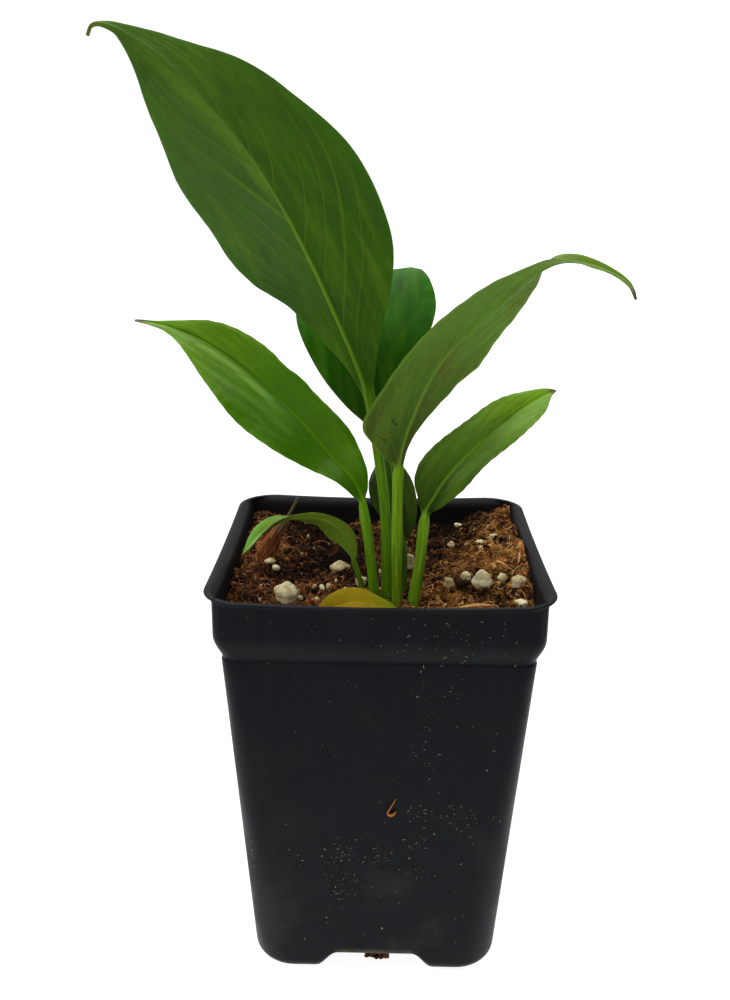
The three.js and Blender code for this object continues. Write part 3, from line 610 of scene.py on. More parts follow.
def pot_material():
    """Black moulded polypropylene, satin, with handling dust."""
    s = Shader("pot_plastic")
    east, north, height = s.node("SeparateXYZ", {0: s.place()}).outputs
    cloud = s.noise(22, 4.0)
    flow = s.noise(2.2, 4.0, over=s.node("Mapping", {0: s.place(), 3: (1.0, 1.0, 0.12)}).outputs[0])
    # paler, rougher clouds, stronger toward the bottom of the wall
    low = s.plus(s.times(s.span(height, 0.075, 0.0), 0.7), 0.14)
    pale_clouds = s.times(s.span(cloud, 0.48, 0.78), low)
    colour = s.ramp(flow, [(0.3, (12, 14, 18)), (0.7, (17, 19, 24))])
    colour = s.mix(pale_clouds, colour, linear((50, 49, 47)))
    colour, inside = pot_dirt_and_highlight(s, east, north, height, colour)
    roughness = s.plus(s.span(cloud, 0.3, 0.7, 0.36, 0.46), s.times(pale_clouds, 0.3))
    roughness = s.plus(roughness, s.times(inside, 0.3))
    relief = s.plus(s.times(s.noise(0.28, 3.0), 0.5), s.times(flow, 0.25))
    s.set(Base_Color=colour, Roughness=roughness, Normal=s.bump(relief, 0.05, 0.5), Specular_IOR_Level=0.085)
    return s.material


def tinted_material(name, stops, size, roughness, relief):
    """Crumbly matter whose colour follows each body's own tint, with grain of the given size."""
    s = Shader(name)
    grain = s.noise(size, 5.0, 0.7)
    colour = s.ramp(s.plus(s.value("tint"), s.span(grain, 0.2, 0.8, -0.16, 0.16)), stops)
    s.set(Base_Color=colour, Roughness=roughness, Normal=s.bump(grain, relief, 0.8), Specular_IOR_Level=0.1)
    return s.material


# Coir from the painted shade of its hollows to its lightest fibres, where it is red-brown and where it is
# golden.
RED_STOPS = [
    (0.0, (18, 12, 8)), (0.25, (46, 28, 17)), (0.5, (104, 60, 36)), (0.75, (156, 96, 58)),
    (1.0, (206, 152, 104)),
]
GOLD_STOPS = [
    (0.0, (22, 15, 8)), (0.25, (58, 38, 17)), (0.5, (126, 82, 38)), (0.75, (184, 126, 60)),
    (1.0, (230, 186, 112)),
]


def coir_material(name, size, grain_share, relief):
    """Coir and peat: each body's tint gives how light it is, and warm how golden."""
    s = Shader(name)
    grain = s.noise(size, 6.0, 0.72)
    tint = s.plus(s.value("tint"), s.span(grain, 0.2, 0.8, -grain_share, grain_share))
    colour = s.mix(s.value("warm"), s.ramp(tint, RED_STOPS), s.ramp(tint, GOLD_STOPS))
    s.set(Base_Color=colour, Roughness=0.95, Normal=s.bump(grain, relief, 0.9), Specular_IOR_Level=0.08)
    return s.material


def perlite_material():
    """Expanded glass: cream, chalky, pitted, with a little soil in the pits."""
    s = Shader("perlite_grain")
    pits = s.cells(0.5)
    stain = s.noise(2.4, 4.0)
    clean = s.ramp(stain, [(0.28, (178, 156, 104)), (0.5, (220, 208, 164)), (0.75, (240, 233, 206))])
    brown = s.ramp(stain, [(0.3, (120, 92, 46)), (0.7, (196, 168, 104))])
    dirt = s.times(s.span(pits, 0.25, 0.05), s.span(s.noise(1.4, 2.0), 0.42, 0.66))
    colour = s.mix(dirt, s.mix(s.value("tone"), clean, brown), linear((112, 88, 56)))
    s.set(Base_Color=colour, Roughness=0.9, Normal=s.bump(pits, 0.16, 0.6), Specular_IOR_Level=0.2)
    return s.material


def stalk_material():
    """Dry fibre: rusty at the foot, grey-brown toward the tip."""
    s = Shader("stalk_dry")
    fibre = s.noise_mm(s.join(s.times(s.value("run"), 0.08), s.value("around")), 0.5, 5.0)
    low = s.ramp(fibre, [(0.3, (62, 30, 14)), (0.5, (150, 84, 42)), (0.7, (196, 130, 76))])
    high = s.ramp(fibre, [(0.3, (66, 56, 34)), (0.6, (118, 102, 70))])
    colour = s.mix(s.span(s.value("run"), 15, 21), low, high)
    s.set(Base_Color=colour, Roughness=0.85, Normal=s.bump(fibre, 0.3, 0.8), Specular_IOR_Level=0.2)
    return s.material


# ---------------------------------------------------------------- leaves
ACROSS = 33               # steps from the midrib to each margin
RING_STEP = 0.85          # distance between rings along the leaf
LEAST_HALF = 0.4          # least half width of a blade
CUPPING = 0.035           # rise of the middle of each half, as a share of its width
RIPPLE = 0.12             # height of the short ripples at the margin


def curve_through(rows):
    """Smooth curve through rows of numbers whose first three are a place, by distance along it."""
    rows = np.array(rows, float)
    knots = np.concatenate([[0], np.cumsum(np.linalg.norm(np.diff(rows[:, :3], axis=0), axis=1))])
    before = np.maximum(np.arange(len(rows)) - 1, 0)
    after = np.minimum(np.arange(len(rows)) + 1, len(rows) - 1)
    slope = (rows[after] - rows[before]) / (knots[after] - knots[before])[:, None]

    def at(s):
        s = np.clip(s, 0, knots[-1])
        i = np.clip(np.searchsorted(knots, s, side="right") - 1, 0, len(rows) - 2)
        h = (knots[i + 1] - knots[i])[:, None]
        t = (s - knots[i])[:, None] / h
        start = (2 * t**3 - 3 * t**2 + 1) * rows[i] + (t**3 - 2 * t**2 + t) * h * slope[i]
        end = (3 * t**2 - 2 * t**3) * rows[i + 1] + (t**3 - t**2) * h * slope[i + 1]
        return start + end

    return at, knots


def carried_frames(at, marks):
    """Tangents, and normals carried along without twist from the front of the pot."""
    tangent = unit((at(marks + 0.05) - at(marks - 0.05))[:, :3])
    normal = np.zeros_like(tangent)
    now = np.array([0.0, -1.0, 0.0])
    for i, t in enumerate(tangent):
        now = unit(now - t * np.dot(now, t))
        normal[i] = now
    return tangent, normal


def vein_phase(run, length, t, spacing, slant):
    """Counts the side veins, which leave the midrib at a slant and bend toward the tip."""
    count = (run - length * slant * (0.6 * t + 0.4 * t * t)) / spacing
    return count + 0.13 * np.sin(2.3 * count) + 0.07 * np.sin(5.1 * count + 3 * t)


def leaf_stations(leaf, bumps):
    """What the leaf is like at each ring, from the foot of its stem to its tip."""
    first_turn = leaf["blade"][0][3]
    stem_rows = [(x, y, z, first_turn, r, r, r) for x, y, z, r in leaf["petiole"]]
    blade_rows = [(*row, leaf["rib"]) for row in leaf["blade"]]
    at, knots = curve_through(stem_rows + blade_rows)
    length, blade_from = knots[-1], knots[len(stem_rows)]
    marks = np.linspace(0, length, int(length / RING_STEP) + 2)
    rows = at(marks)
    tangent, normal = carried_frames(at, marks)
    run = marks - blade_from
    along = np.maximum(0, run / (length - blade_from))
    turn = np.radians(leaf["side"] * rows[:, 3])[:, None]
    up = normal * np.cos(turn) + np.cross(tangent, normal) * np.sin(turn)
    left, right = np.maximum(LEAST_HALF, rows[:, 4]), np.maximum(LEAST_HALF, rows[:, 5])
    for side, place, reach, amount in bumps:
        bump = amount * np.exp(-(((run - place) / reach) ** 2))
        left = left + bump * (side < 0)
        right = right + bump * (side > 0)
    radius = rows[:, 6] * (1 - RIB_TAPER * along)
    swell = 1 + 0.1 * np.exp(-(((run + 7) / 5) ** 2))
    flat = smooth(STEM_UNTIL, BLADE_FROM, np.maximum(left, right) / radius)
    columns = dict(
        run=run, along=along, left=left, right=right, radius=radius, flat=flat, stem=radius * swell,
    )
    return SimpleNamespace(
        places=rows[:, None, :3], sideways=np.cross(tangent, up)[:, None], up=up[:, None],
        blade_length=length - blade_from, **{key: value[:, None] for key, value in columns.items()},
    )


def blade_lift(leaf, look, at, u, s, width):
    """How far the blade stands off its flat plane, and the count of side veins at each point."""
    t = np.abs(u)
    wave_at = 2 * math.pi * leaf["waves"] * at.along + np.where(u < 0, 0.4, 2.1)
    size = smooth(1, 8, width)
    lift = np.abs(s) * math.sin(math.radians(leaf["fold"])) + leaf["wave"] * t**2 * size * np.sin(wave_at)
    lift = lift + CUPPING * width * 4 * (t - t * t)
    lift = lift + RIPPLE * t**6 * size * np.sin(5.3 * wave_at + 1.0)

    spacing, slant, swelling = look["veins"]
    phase = vein_phase(at.run, at.blade_length, t, spacing, slant) + np.where(u < 0, 0.0, 0.37)
    gap = np.abs(phase - np.floor(phase) - 0.5)
    body = size * smooth(0.03, 0.2, t) * smooth(1.0, 0.82, t)
    quilt = 0.34 * gap - 0.14 * np.exp(-((gap / 0.1) ** 2))
    lift = lift + swelling * body * quilt
    flow = np.stack([np.broadcast_to(0.14 * at.run, s.shape), s, np.full(s.shape, leaf["rib"])], -1)
    seed = leaf["blade"][0][0]
    lift = lift + look["bands"] * body * rough_at(flow.reshape(-1, 3), 5.5, 2, seed).reshape(s.shape)
    return lift, phase


def leaf_surface(leaf, look, bumps):
    """Points of every ring, and the numbers that the material reads."""
    at = leaf_stations(leaf, bumps)
    v = np.linspace(-1, 1, 2 * ACROSS + 1)[None, :]
    u = np.sign(v) * np.abs(v) ** 1.5
    width = np.where(u < 0, at.left, at.right)
    s = u * width
    lift, phase = blade_lift(leaf, look, at, u, s, width)
    fold = math.radians(leaf["fold"])
    rib = at.radius
    keel = look["keel"] * rib * 0.85 * np.exp(-((s / (0.62 * rib)) ** 2))
    groove = look["keel"] * rib * 0.3 * np.exp(-((s / (0.5 * rib)) ** 2))
    half_thick = BLADE / 2 * np.sqrt(np.maximum(0.06, 1 - np.abs(u)**8))
    angle = math.pi * (0.5 + 0.49 * v)
    channel = 1 - 0.14 * np.exp(-((v / 0.3) ** 2))

    surfaces = []
    for side in (1, -1):
        depth = half_thick * side + (-groove if side > 0 else -keel)
        x = -np.cos(angle) * at.stem * (1 - at.flat) + s * math.cos(fold) * at.flat
        stem_y = side * np.sin(angle) * at.stem * (channel if side > 0 else 1)
        y = stem_y * (1 - at.flat) + (lift + depth) * at.flat
        points = at.places + at.sideways * x[..., None] + at.up * y[..., None]
        values = dict(
            along=at.along, across=u, run=at.run, span=x, phase=phase, face=(side + 1) / 2, stem=1 - at.flat,
            rib_width=rib * 0.9,
        )
        surfaces.append((points, {key: np.broadcast_to(value, x.shape) for key, value in values.items()}))
    (top, top_values), (under, under_values) = surfaces
    points = np.concatenate([top, under[:, ::-1]], axis=1)
    values = {k: np.concatenate([top_values[k], under_values[k][:, ::-1]], axis=1) for k in top_values}
    return points, values


def make_leaf(name, leaf):
    look = LOOKS[name]
    points, values = leaf_surface(leaf, look, MARGIN_BUMPS.get(name, []))
    rings, count = points.shape[:2]
    last = (rings - 1) * count
    half = count // 2
    faces = [face[::-1] for face in ring_faces(rings, count)]
    for j in range(half - 1):
        k = count - 1 - j
        faces.append([j, j + 1, k - 1, k])
        faces.append([last + k, last + k - 1, last + j + 1, last + j])
    values = {key: value.reshape(-1) for key, value in values.items()}
    new_piece(
        name + "_grown", points.reshape(-1, 3), faces, leaf_material(name + "_skin", look),
        sharp=60, slot=look["slot"], replaces=[name], **values,
    )


# ---------------------------------------------------------------- pot
ARC_STEPS = 12            # columns round each corner
SIDE_STEPS = 44           # columns along each straight side
TAPER_RINGS = 20
FOOT_RINGS = 8
# Distances from the middle at which rings cross the arches; the first three are the drain slot's.
UNDERSIDE_STOPS = [SLOT_FAR, (SLOT_FAR + SLOT_NEAR) / 2, SLOT_NEAR, 29.0, 27.6]


def side_marks():
    """Places along one straight side, -1 to 1, with the drain slot's ends among them."""
    slot = SLOT_HALF / (BASE_HALF - BASE_CORNER_RADIUS)
    marks = np.linspace(-1, 1, SIDE_STEPS + 1)
    marks[np.argmin(np.abs(marks - slot))] = slot
    marks[np.argmin(np.abs(marks + slot))] = -slot
    return marks


def perimeter():
    """For each column: side mark, arc angle and quarter turn."""
    columns = []
    for quarter in range(4):
        columns += [(mark, 0.0, quarter) for mark in side_marks()]
        columns += [(1.0, k / ARC_STEPS * math.pi / 2, quarter) for k in range(1, ARC_STEPS)]
    return np.array(columns)


def square_ring(columns, half, radius, z, dip=0.0):
    """Rounded square; half, radius and z are one number or one for each column."""
    mark, arc, quarter = columns.T
    straight = half - radius
    x = straight + radius * np.cos(arc)
    y = straight * mark + radius * np.sin(arc)
    on_side = arc == 0
    x = np.where(on_side, half, x)
    turn = quarter * math.pi / 2
    drop = np.where(on_side, dip * (1 - mark**2), 0)
    height = np.broadcast_to(z - drop, x.shape)
    return np.stack([x * np.cos(turn) - y * np.sin(turn), x * np.sin(turn) + y * np.cos(turn), height], -1)


def body_half(z):
    return BASE_HALF + (BODY_TOP_HALF - BASE_HALF) * z / BODY_TOP


def body_corner(z):
    return BASE_CORNER_RADIUS + (CORNER_RADIUS - BASE_CORNER_RADIUS) * z / BODY_TOP


def arch_height(x, y):
    """Height of the moulding's underside: feet at the corners, a pad in the middle, four arched passages."""
    def passage(across, depth):
        rise = smooth(NOTCH_FOOT_HALF, NOTCH_TOP_HALF, np.abs(across))
        return rise * smooth(PAD_HALF - 0.4, PAD_HALF + 0.9, depth)

    sides = [passage(x, -y), passage(x, y), passage(y, x), passage(y, -x)]
    return NOTCH_TOP * np.max(sides, axis=0)


def collar_half(z):
    """Half width of the collar, which swells out from its neck at the ledge."""
    t = np.clip((np.asarray(z, float) - LEDGE) / (BAND_BOTTOM - LEDGE), 0, 1)
    neck = BODY_TOP_HALF - LEDGE_STEP
    return neck + (BAND_HALF - neck) * smooth(0, 1, t**0.75)


def pot_profile():
    """Outer rings above the taper: half width, corner radius, height and dip, from the lip down."""
    lip, top, under = RIM_WIDTH / 2, POT_HEIGHT, POT_HEIGHT - LIP_DROP
    inner = BAND_HALF - WALL + MOUTH[0][0]
    neck = BODY_TOP_HALF - LEDGE_STEP
    rows = [
        (inner + 0.2, LIP_RADIUS - 1.2, top - 0.03), (inner + 0.6, LIP_RADIUS - 0.6, top),
        (lip - 0.5, LIP_RADIUS, top), (lip - 0.2, LIP_RADIUS, top - 0.1),
        (lip - 0.04, LIP_RADIUS, top - 0.28), (lip, LIP_RADIUS, top - 0.5),
        (lip - 0.1, LIP_RADIUS, top - 0.72), (lip - 0.4, LIP_RADIUS, under),
        (lip - 1.0, LIP_RADIUS - 1.6, under - 0.1), (BAND_HALF + 1.1, CORNER_RADIUS + 4.0, under - 0.2),
        (BAND_HALF + 0.45, CORNER_RADIUS + 1.6, under - 0.38),
        (BAND_HALF + 0.12, CORNER_RADIUS + 0.4, under - 0.75), (BAND_HALF, CORNER_RADIUS, under - 1.4),
    ]
    rows = [(*row, RIM_DIP) for row in rows] + [(BAND_HALF, CORNER_RADIUS, 127.0, RIM_DIP / 2)]
    collar = [(float(collar_half(z)), z) for z in np.linspace(BAND_BOTTOM + 1, LEDGE + 0.35, 18)]
    ledge = [
        (neck, LEDGE), (BODY_TOP_HALF - 0.7 * LEDGE_STEP, LEDGE - 0.25),
        (BODY_TOP_HALF - 0.2 * LEDGE_STEP, LEDGE - 0.5), (BODY_TOP_HALF, BODY_TOP - 0.1),
    ]
    return rows + [(half, CORNER_RADIUS, z, 0) for half, z in collar + ledge]


def inner_profile():
    wall, radius = BAND_HALF - WALL, CORNER_RADIUS - WALL
    rows = [(wall + out, radius + rounder, POT_HEIGHT - depth, dip) for out, depth, rounder, dip in MOUTH]
    rows.append((wall, radius, BAND_BOTTOM + 1, 0))
    rows.append((BODY_TOP_HALF - WALL, radius, LEDGE + 0.9, 0))
    return rows


def underside_rings(columns, inset, fillet, arched):
    """Rings in along the underside, with edges of the drain slots that run straight over the arches."""
    inner = BASE_HALF - BASE_CORNER_RADIUS
    floor_half = BASE_HALF - inset - fillet
    reach = BASE_HALF - inset - ARCH_FILLET
    rings = []
    for stop in UNDERSIDE_STOPS:
        share = min(max((reach - stop) / (reach - inner), 0.02), 0.98)
        half = floor_half + (inner - floor_half) * share
        half = np.where(arched > 0.999, stop, half)
        ring = square_ring(columns, half, np.maximum(half - inner, 0.05), 0.0)
        ring[:, 2] = arch_height(ring[:, 0], ring[:, 1]) + inset
        rings.append(ring)
    return rings


def shell_rings(columns, profile, inset):
    """Rings from the lip down the wall, round the foot and in along the underside to its inner square."""
    rings = [square_ring(columns, h, r, z, dip) for h, r, z, dip in profile]
    outline = square_ring(columns, BASE_HALF, BASE_CORNER_RADIUS, 0.0)
    foot = arch_height(outline[:, 0], outline[:, 1])
    arched = foot / NOTCH_TOP
    fillet = BASE_FILLET + (ARCH_FILLET + 0.5 * inset - BASE_FILLET) * arched
    fillet = np.maximum(fillet - 0.7 * inset, 0.5)
    start = foot + inset + fillet
    top = profile[-1][2]
    for share in np.linspace(0, 1, TAPER_RINGS + 1)[1:]:
        z = top + (start - top) * share
        rings.append(square_ring(columns, body_half(z) - inset, body_corner(z) - inset, z))
    for k in range(1, FOOT_RINGS + 1):
        a = k / FOOT_RINGS * math.pi / 2
        z = foot + inset + fillet * (1 - math.sin(a))
        turn_in = fillet * (1 - math.cos(a))
        radius = np.maximum(body_corner(z) - inset - turn_in, 0.05)
        rings.append(square_ring(columns, body_half(z) - inset - turn_in, radius, z))
    return np.stack(rings + underside_rings(columns, inset, fillet, arched))


def floor_grid(inset):
    marks = side_marks() * (BASE_HALF - BASE_CORNER_RADIUS)
    x, y = np.meshgrid(marks, marks, indexing="ij")
    return np.stack([x, y, arch_height(x, y) + inset], -1)


def grid_border(columns):
    """For each column, the grid point that it ends in."""
    n = SIDE_STEPS
    mark_at = {round(m, 6): j for j, m in enumerate(side_marks())}
    border = []
    for mark, arc, quarter in columns:
        j = n if arc else mark_at[round(mark, 6)]
        i, k = [(n, j), (n - j, n), (0, n - j), (j, 0)][int(quarter)]
        border.append(i * (n + 1) + k)
    return border


def shell_faces(first, number, border, in_slot):
    """Faces between one shell's rings, with the drain slots left open, and of the grid that ends them."""
    count = len(border)
    slot_from = number - len(UNDERSIDE_STOPS)
    grid_first = first + number * count
    last = grid_first - count
    side = SIDE_STEPS + 1
    faces = []
    for i in range(number - 1):
        a = first + i * count
        for j in range(count):
            k = (j + 1) % count
            if slot_from <= i < slot_from + 2 and in_slot[j] and in_slot[k]:
                continue
            faces.append([a + j, a + k, a + count + k, a + count + j])
    for j in range(count):
        k = (j + 1) % count
        face = [last + j, last + k, grid_first + border[k], grid_first + border[j]]
        faces.append(list(dict.fromkeys(face)))
    for i in range(SIDE_STEPS):
        for j in range(SIDE_STEPS):
            a = grid_first + i * side + j
            faces.append([a, a + side, a + side + 1, a + 1])
    return faces


def slot_walls(columns, in_slot, outer, inner):
    """Faces round the edge of each drain slot; outer and inner are where its first ring starts."""
    count = len(columns)
    faces = []
    for quarter in range(4):
        group = [j for j in range(count) if in_slot[j] and columns[j, 2] == quarter]
        loop = [(0, j) for j in group] + [(1, group[-1]), (2, group[-1])]
        loop += [(2, j) for j in group[-2::-1]] + [(1, group[0])]
        for (i, j), (m, k) in zip(loop, loop[1:] + loop[:1]):
            here, there = i * count + j, m * count + k
            faces.append([outer + here, outer + there, inner + there, inner + here])
    return faces


def make_pot(material):
    columns = perimeter()
    count = len(columns)
    border = grid_border(columns)
    slot_mark = SLOT_HALF / (BASE_HALF - BASE_CORNER_RADIUS)
    in_slot = (columns[:, 1] == 0) & (np.abs(columns[:, 0]) <= slot_mark + 1e-9)
    points, faces, shells, slots = [], [], [], []
    first = 0
    for inset, profile in ((0.0, pot_profile()), (WALL, inner_profile())):
        rings = shell_rings(columns, profile, inset)
        number = len(rings)
        mesh = shell_faces(first, number, border, in_slot)
        faces += mesh if inset else [face[::-1] for face in mesh]
        shells.append(first)
        slots.append(first + (number - len(UNDERSIDE_STOPS)) * count)
        points += [rings.reshape(-1, 3), floor_grid(inset).reshape(-1, 3)]
        first += number * count + (SIDE_STEPS + 1) ** 2
    outer, inner = shells
    for j in range(count):
        k = (j + 1) % count
        faces.append([outer + j, outer + k, inner + k, inner + j])
    faces += slot_walls(columns, in_slot, *slots)
    new_piece("pot_moulded", np.concatenate(points), faces, material, sharp=50, slot="pot", replaces=["pot"])


def wall_at(z):
    """How far the outside of a wall stands from the middle at that height."""
    return np.where(z > LEDGE, collar_half(z), body_half(z))


# ---------------------------------------------------------------- soil
# Painted shade in the hollows and under the leaves, and lighter heaps: x, y, reach, change of tint.
SHADES = [
    (-33, -5, 10, -0.36), (-20, 1, 11, -0.42), (-13, 10, 9, -0.36), (-16, 27, 21, -0.4),
    (-26, 44, 16, -0.34), (-5, -2, 9, -0.3), (21, 33, 16, -0.44), (25, 46, 14, -0.42),
    (16, 12, 11, -0.34), (6, -15, 9, -0.22), (25, -13.5, 4.5, -0.42), (30, -19, 6, -0.2),
    (31, -25, 7, -0.1), (12, -2, 8, -0.16), (38, 14, 5, -0.14), (44, 33, 6, -0.12), (-38, -18, 10, -0.1),
    (46, 0, 9, 0.26), (33, 4, 9, 0.14), (37, -8, 7, 0.14), (37, 25, 8, 0.1), (-35, 17, 7, 0.16),
    (-22, -14, 9, 0.12), (16, -22, 7, 0.1), (46, -15, 6, 0.18), (-41, 8, 6, 0.12), (47, 40, 7, 0.12),
    (-40, -30, 12, -0.2), (-8, -12, 8, -0.2), (38, -36, 14, -0.1),
]
# Small heaps on the soil: x, y, reach, height.
HEAPS = [
    (45.5, 2, 7, 1.5), (45.5, -12, 5, 0.7), (44, 39, 6, 1.0), (-31, 16, 5, 1.4), (25, -13.5, 3.5, 1.1),
    (-44, 12, 5, 0.8),
]
HOLLOW_DEPTH = 2.4        # how deep the soil sinks where its tint changes by -1


def soil_height(x, y):
    tilt = 0.012 * x + 0.008 * y
    waves = 0.75 * np.sin(0.21 * x + 1.1) * np.cos(0.19 * y - 0.6)
    waves = waves + 0.5 * np.sin(0.47 * x - 0.33 * y) + 0.4 * np.sin(0.39 * y + 0.61 * x + 2)
    right_bank = 5.6 * smooth(20, 46, x) * smooth(-36, -4, y)
    right_heap = 1.2 * smooth(14, 2, np.hypot(x - 45, y - 3))
    left_bank = 1.8 * smooth(-28, -46, x) * smooth(-34, -20, y)
    back_heap = 2.6 * smooth(20, 3, np.hypot(x + 36, y - 44))
    return SOIL_LEVEL + tilt + waves + right_bank + right_heap + left_bank + back_heap


def soil_warmth(x, y):
    """How golden the coir is: red-brown on the left, golden on the right."""
    spots = 0.25 * np.sin(0.31 * x + 1.7) * np.cos(0.27 * y)
    by_stalk = 0.6 * np.exp(-((x + 36) ** 2 + (y - 12) ** 2) / 60)
    return np.clip(0.72 * smooth(-16, 30, x) + spots + by_stalk, 0, 1)


def strand_warmth(x, y):
    """Single strands and crumbs vary around the warmth of their place."""
    return np.clip(soil_warmth(x, y) + rng.normal(0, 0.28, len(x)), 0, 1)


def soil_heaps(x, y):
    rise = np.zeros_like(np.asarray(x, float))
    for cx, cy, reach, height in HEAPS:
        rise = rise + height * smooth(reach, 0.2 * reach, np.hypot(x - cx, y - cy))
    return rise


def soil_shade(x, y):
    shade = np.zeros_like(np.asarray(x, float))
    for cx, cy, reach, change in SHADES:
        shade = shade + change * np.exp(-((x - cx) ** 2 + (y - cy) ** 2) / (2 * (reach * 0.6) ** 2))
    return shade


def rounded_square(a, b, half, radius):
    """Carries the square -1 to 1 onto a rounded square, ring by ring."""
    big = np.maximum(np.abs(a), np.abs(b))
    small = np.minimum(np.abs(a), np.abs(b))
    t = small / np.maximum(big, 1e-9)
    straight = half - radius
    s = t * (straight + radius * math.pi / 4)
    turn = np.maximum(0, s - straight) / radius
    major = straight + radius * np.cos(turn)
    minor = np.minimum(s, straight) + radius * np.sin(turn)
    major, minor = major * big, minor * big
    along_x = np.abs(a) >= np.abs(b)
    x = np.where(along_x, major, minor) * np.sign(a)
    y = np.where(along_x, minor, major) * np.sign(b)
    return x, y


SOIL_CELLS = 190
SKIRT_LEVELS = (118.0, LEDGE + 1, 60.0, NOTCH_TOP + WALL + 0.6)
HIDDEN_TINT = 0.3         # tint and warmth of the soil below its surface


def soil_skirts(edge_a, edge_b):
    """Rings below the soil's edge, down the inside of the pot."""
    skirts = []
    for level in SKIRT_LEVELS:
        wide = collar_half(level) if level > LEDGE + 2 else body_half(level)
        corner = CORNER_RADIUS if level > LEDGE else body_corner(level)
        px, py = rounded_square(edge_a, edge_b, wide - WALL - SOIL_GAP, corner - WALL)
        skirts.append(np.stack([px, py, np.full(len(px), level)], -1))
    return skirts


def make_soil(material):
    n = SOIL_CELLS + 1
    marks = np.linspace(-1, 1, n)
    a, b = np.meshgrid(marks, marks, indexing="ij")
    x, y = rounded_square(a, b, BAND_HALF - WALL - 0.15, CORNER_RADIUS - WALL)
    flat = np.stack([x.ravel(), y.ravel(), np.zeros(n * n)], -1)
    big, mid, fine = (rough_at(flat, *kind) for kind in ((8.0, 3, 1.0), (2.6, 3, 2.0), (0.8, 2, 3.0)))
    relief = (0.8 * big + 1.2 * mid + 0.5 * fine).reshape(n, n)
    # tint from the same noise as the relief, lighter where the soil stands up and darker in its dips: painted
    # light and shade
    light = (0.1 * big + 0.42 * mid + 0.25 * fine).reshape(n, n)
    top = np.stack([x, y, soil_surface(x, y) + relief], -1)
    tint = 0.29 + light + soil_shade(x, y)

    grid = np.arange(n * n).reshape(n, n)
    cells = np.stack([grid[:-1, :-1], grid[1:, :-1], grid[1:, 1:], grid[:-1, 1:]], -1)
    faces = cells.reshape(-1, 4).tolist()
    border = np.concatenate([grid[:-1, 0], grid[-1, :-1], grid[:0:-1, -1], grid[0, :0:-1]])
    skirts = soil_skirts(a.ravel()[border], b.ravel()[border])
    count = len(border)
    first = n * n
    for j in range(count):
        faces.append([border[j], first + j, first + (j + 1) % count, border[(j + 1) % count]])
    faces += [face[::-1] for face in ring_faces(len(skirts), count, first)]
    bottom = first + (len(skirts) - 1) * count
    faces.append([bottom + j for j in range(count)][::-1])
    hidden = np.full(count * len(skirts), HIDDEN_TINT)
    new_piece(
        "soil_bed", np.concatenate([top.reshape(-1, 3), *skirts]), faces, material, sharp=180, slot="soil",
        replaces=["soil"], tint=np.concatenate([tint.ravel(), hidden]),
        warm=np.concatenate([soil_warmth(x, y).ravel(), hidden]),
    )


def scattered(count, margin=1.2):
    """Seeded places on the soil."""
    a = rng.uniform(-1, 1, count)
    b = rng.uniform(-1, 1, count)
    return rounded_square(a, b, BAND_HALF - WALL - margin, CORNER_RADIUS - WALL)


def soil_surface(x, y):
    return soil_height(x, y) + soil_heaps(x, y) + HOLLOW_DEPTH * np.minimum(0, soil_shade(x, y))


CRUMBS = 4200
GRAIN_CRUMBS = 16         # around the foot of each perlite grain
HAIRS = 5200
SHREDS = 900
# Larger shreds and a bark flake: x, y, heading in degrees, length, radius, height above the soil, tint.
BIG_SHREDS = [
    (37.4, -6.8, -52, 6.5, 0.42, 0.9, 1.0), (27.6, -30.2, 4, 10.5, 0.75, 0.8, 0.92),
    (-20.5, 24.0, -28, 8.0, 0.25, 1.4, 0.6), (34.0, 6.5, 12, 5.0, 0.4, 0.8, 0.95),
    (24.5, -1.0, -40, 5.0, 0.35, 0.7, 0.85), (43.5, -6.0, 80, 5.0, 0.45, 1.0, 0.95),
    (-30.0, -15.0, 25, 7.0, 0.18, 1.1, 0.8), (-35.0, -12.0, -50, 6.0, 0.15, 1.1, 0.75),
    (16.5, -9.0, 30, 5.0, 0.3, 0.6, 0.8),
]
STRAND_STATIONS = 7


def loose_coir(name, points, faces, material, sharp, x, y, tint):
    """A piece of many loose bodies, each with a tint and a warmth of its own."""
    tint = per_body(tint, points)
    warm = per_body(strand_warmth(x, y), points)
    new_piece(name, points, faces, material, sharp=sharp, slot="soil", tint=tint, warm=warm)


def make_crumbs(material):
    x, y = scattered(CRUMBS)
    size = 0.25 + 0.85 * rng.random(CRUMBS) ** 2.6
    grains = np.array(PERLITE)
    around = rng.uniform(0, 2 * math.pi, (len(grains), GRAIN_CRUMBS))
    foot_x = grains[:, :1] + grains[:, 3:4] * 1.05 * np.cos(around)
    foot_y = grains[:, 1:2] + grains[:, 4:5] * 1.05 * np.sin(around)
    reach = BAND_HALF - WALL - 0.8
    x = np.concatenate([x, foot_x.ravel()]).clip(-reach, reach)
    y = np.concatenate([y, foot_y.ravel()])
    size = np.concatenate([size, rng.uniform(0.3, 0.75, foot_x.size)])
    count = len(x)
    shape = size[:, None] * rng.uniform(0.6, 1.35, (count, 3))
    z = soil_surface(x, y) + rng.normal(0.2, 0.45, count)
    points, faces = lumps(np.stack([x, y, z], -1), shape, 1, 0.5)
    # darker where the soil has painted shade
    tint = 0.42 + soil_shade(x, y) + rng.normal(0, 0.26, count)
    loose_coir("soil_crumbs", points, faces.tolist(), material, 60, x, y, tint)


def strand_paths(x, y, length, heading, bend, rise, curl):
    """Curved strands that lie on the soil."""
    t = np.linspace(-0.5, 0.5, STRAND_STATIONS)[None]
    angle = heading[:, None] + bend[:, None] * t
    along = length[:, None] * t
    reach = BAND_HALF - WALL - 0.4
    px = np.clip(x[:, None] + along * np.cos(angle), -reach, reach)
    py = np.clip(y[:, None] + along * np.sin(angle), -reach, reach)
    swing = curl[:, None] * np.sin(7 * t + heading[:, None])
    pz = soil_surface(px, py) + np.clip(rise[:, None] * (1 - 3 * t**2) + swing, -0.6, 2.4) + 0.15
    return np.stack([px, py, pz], -1), t


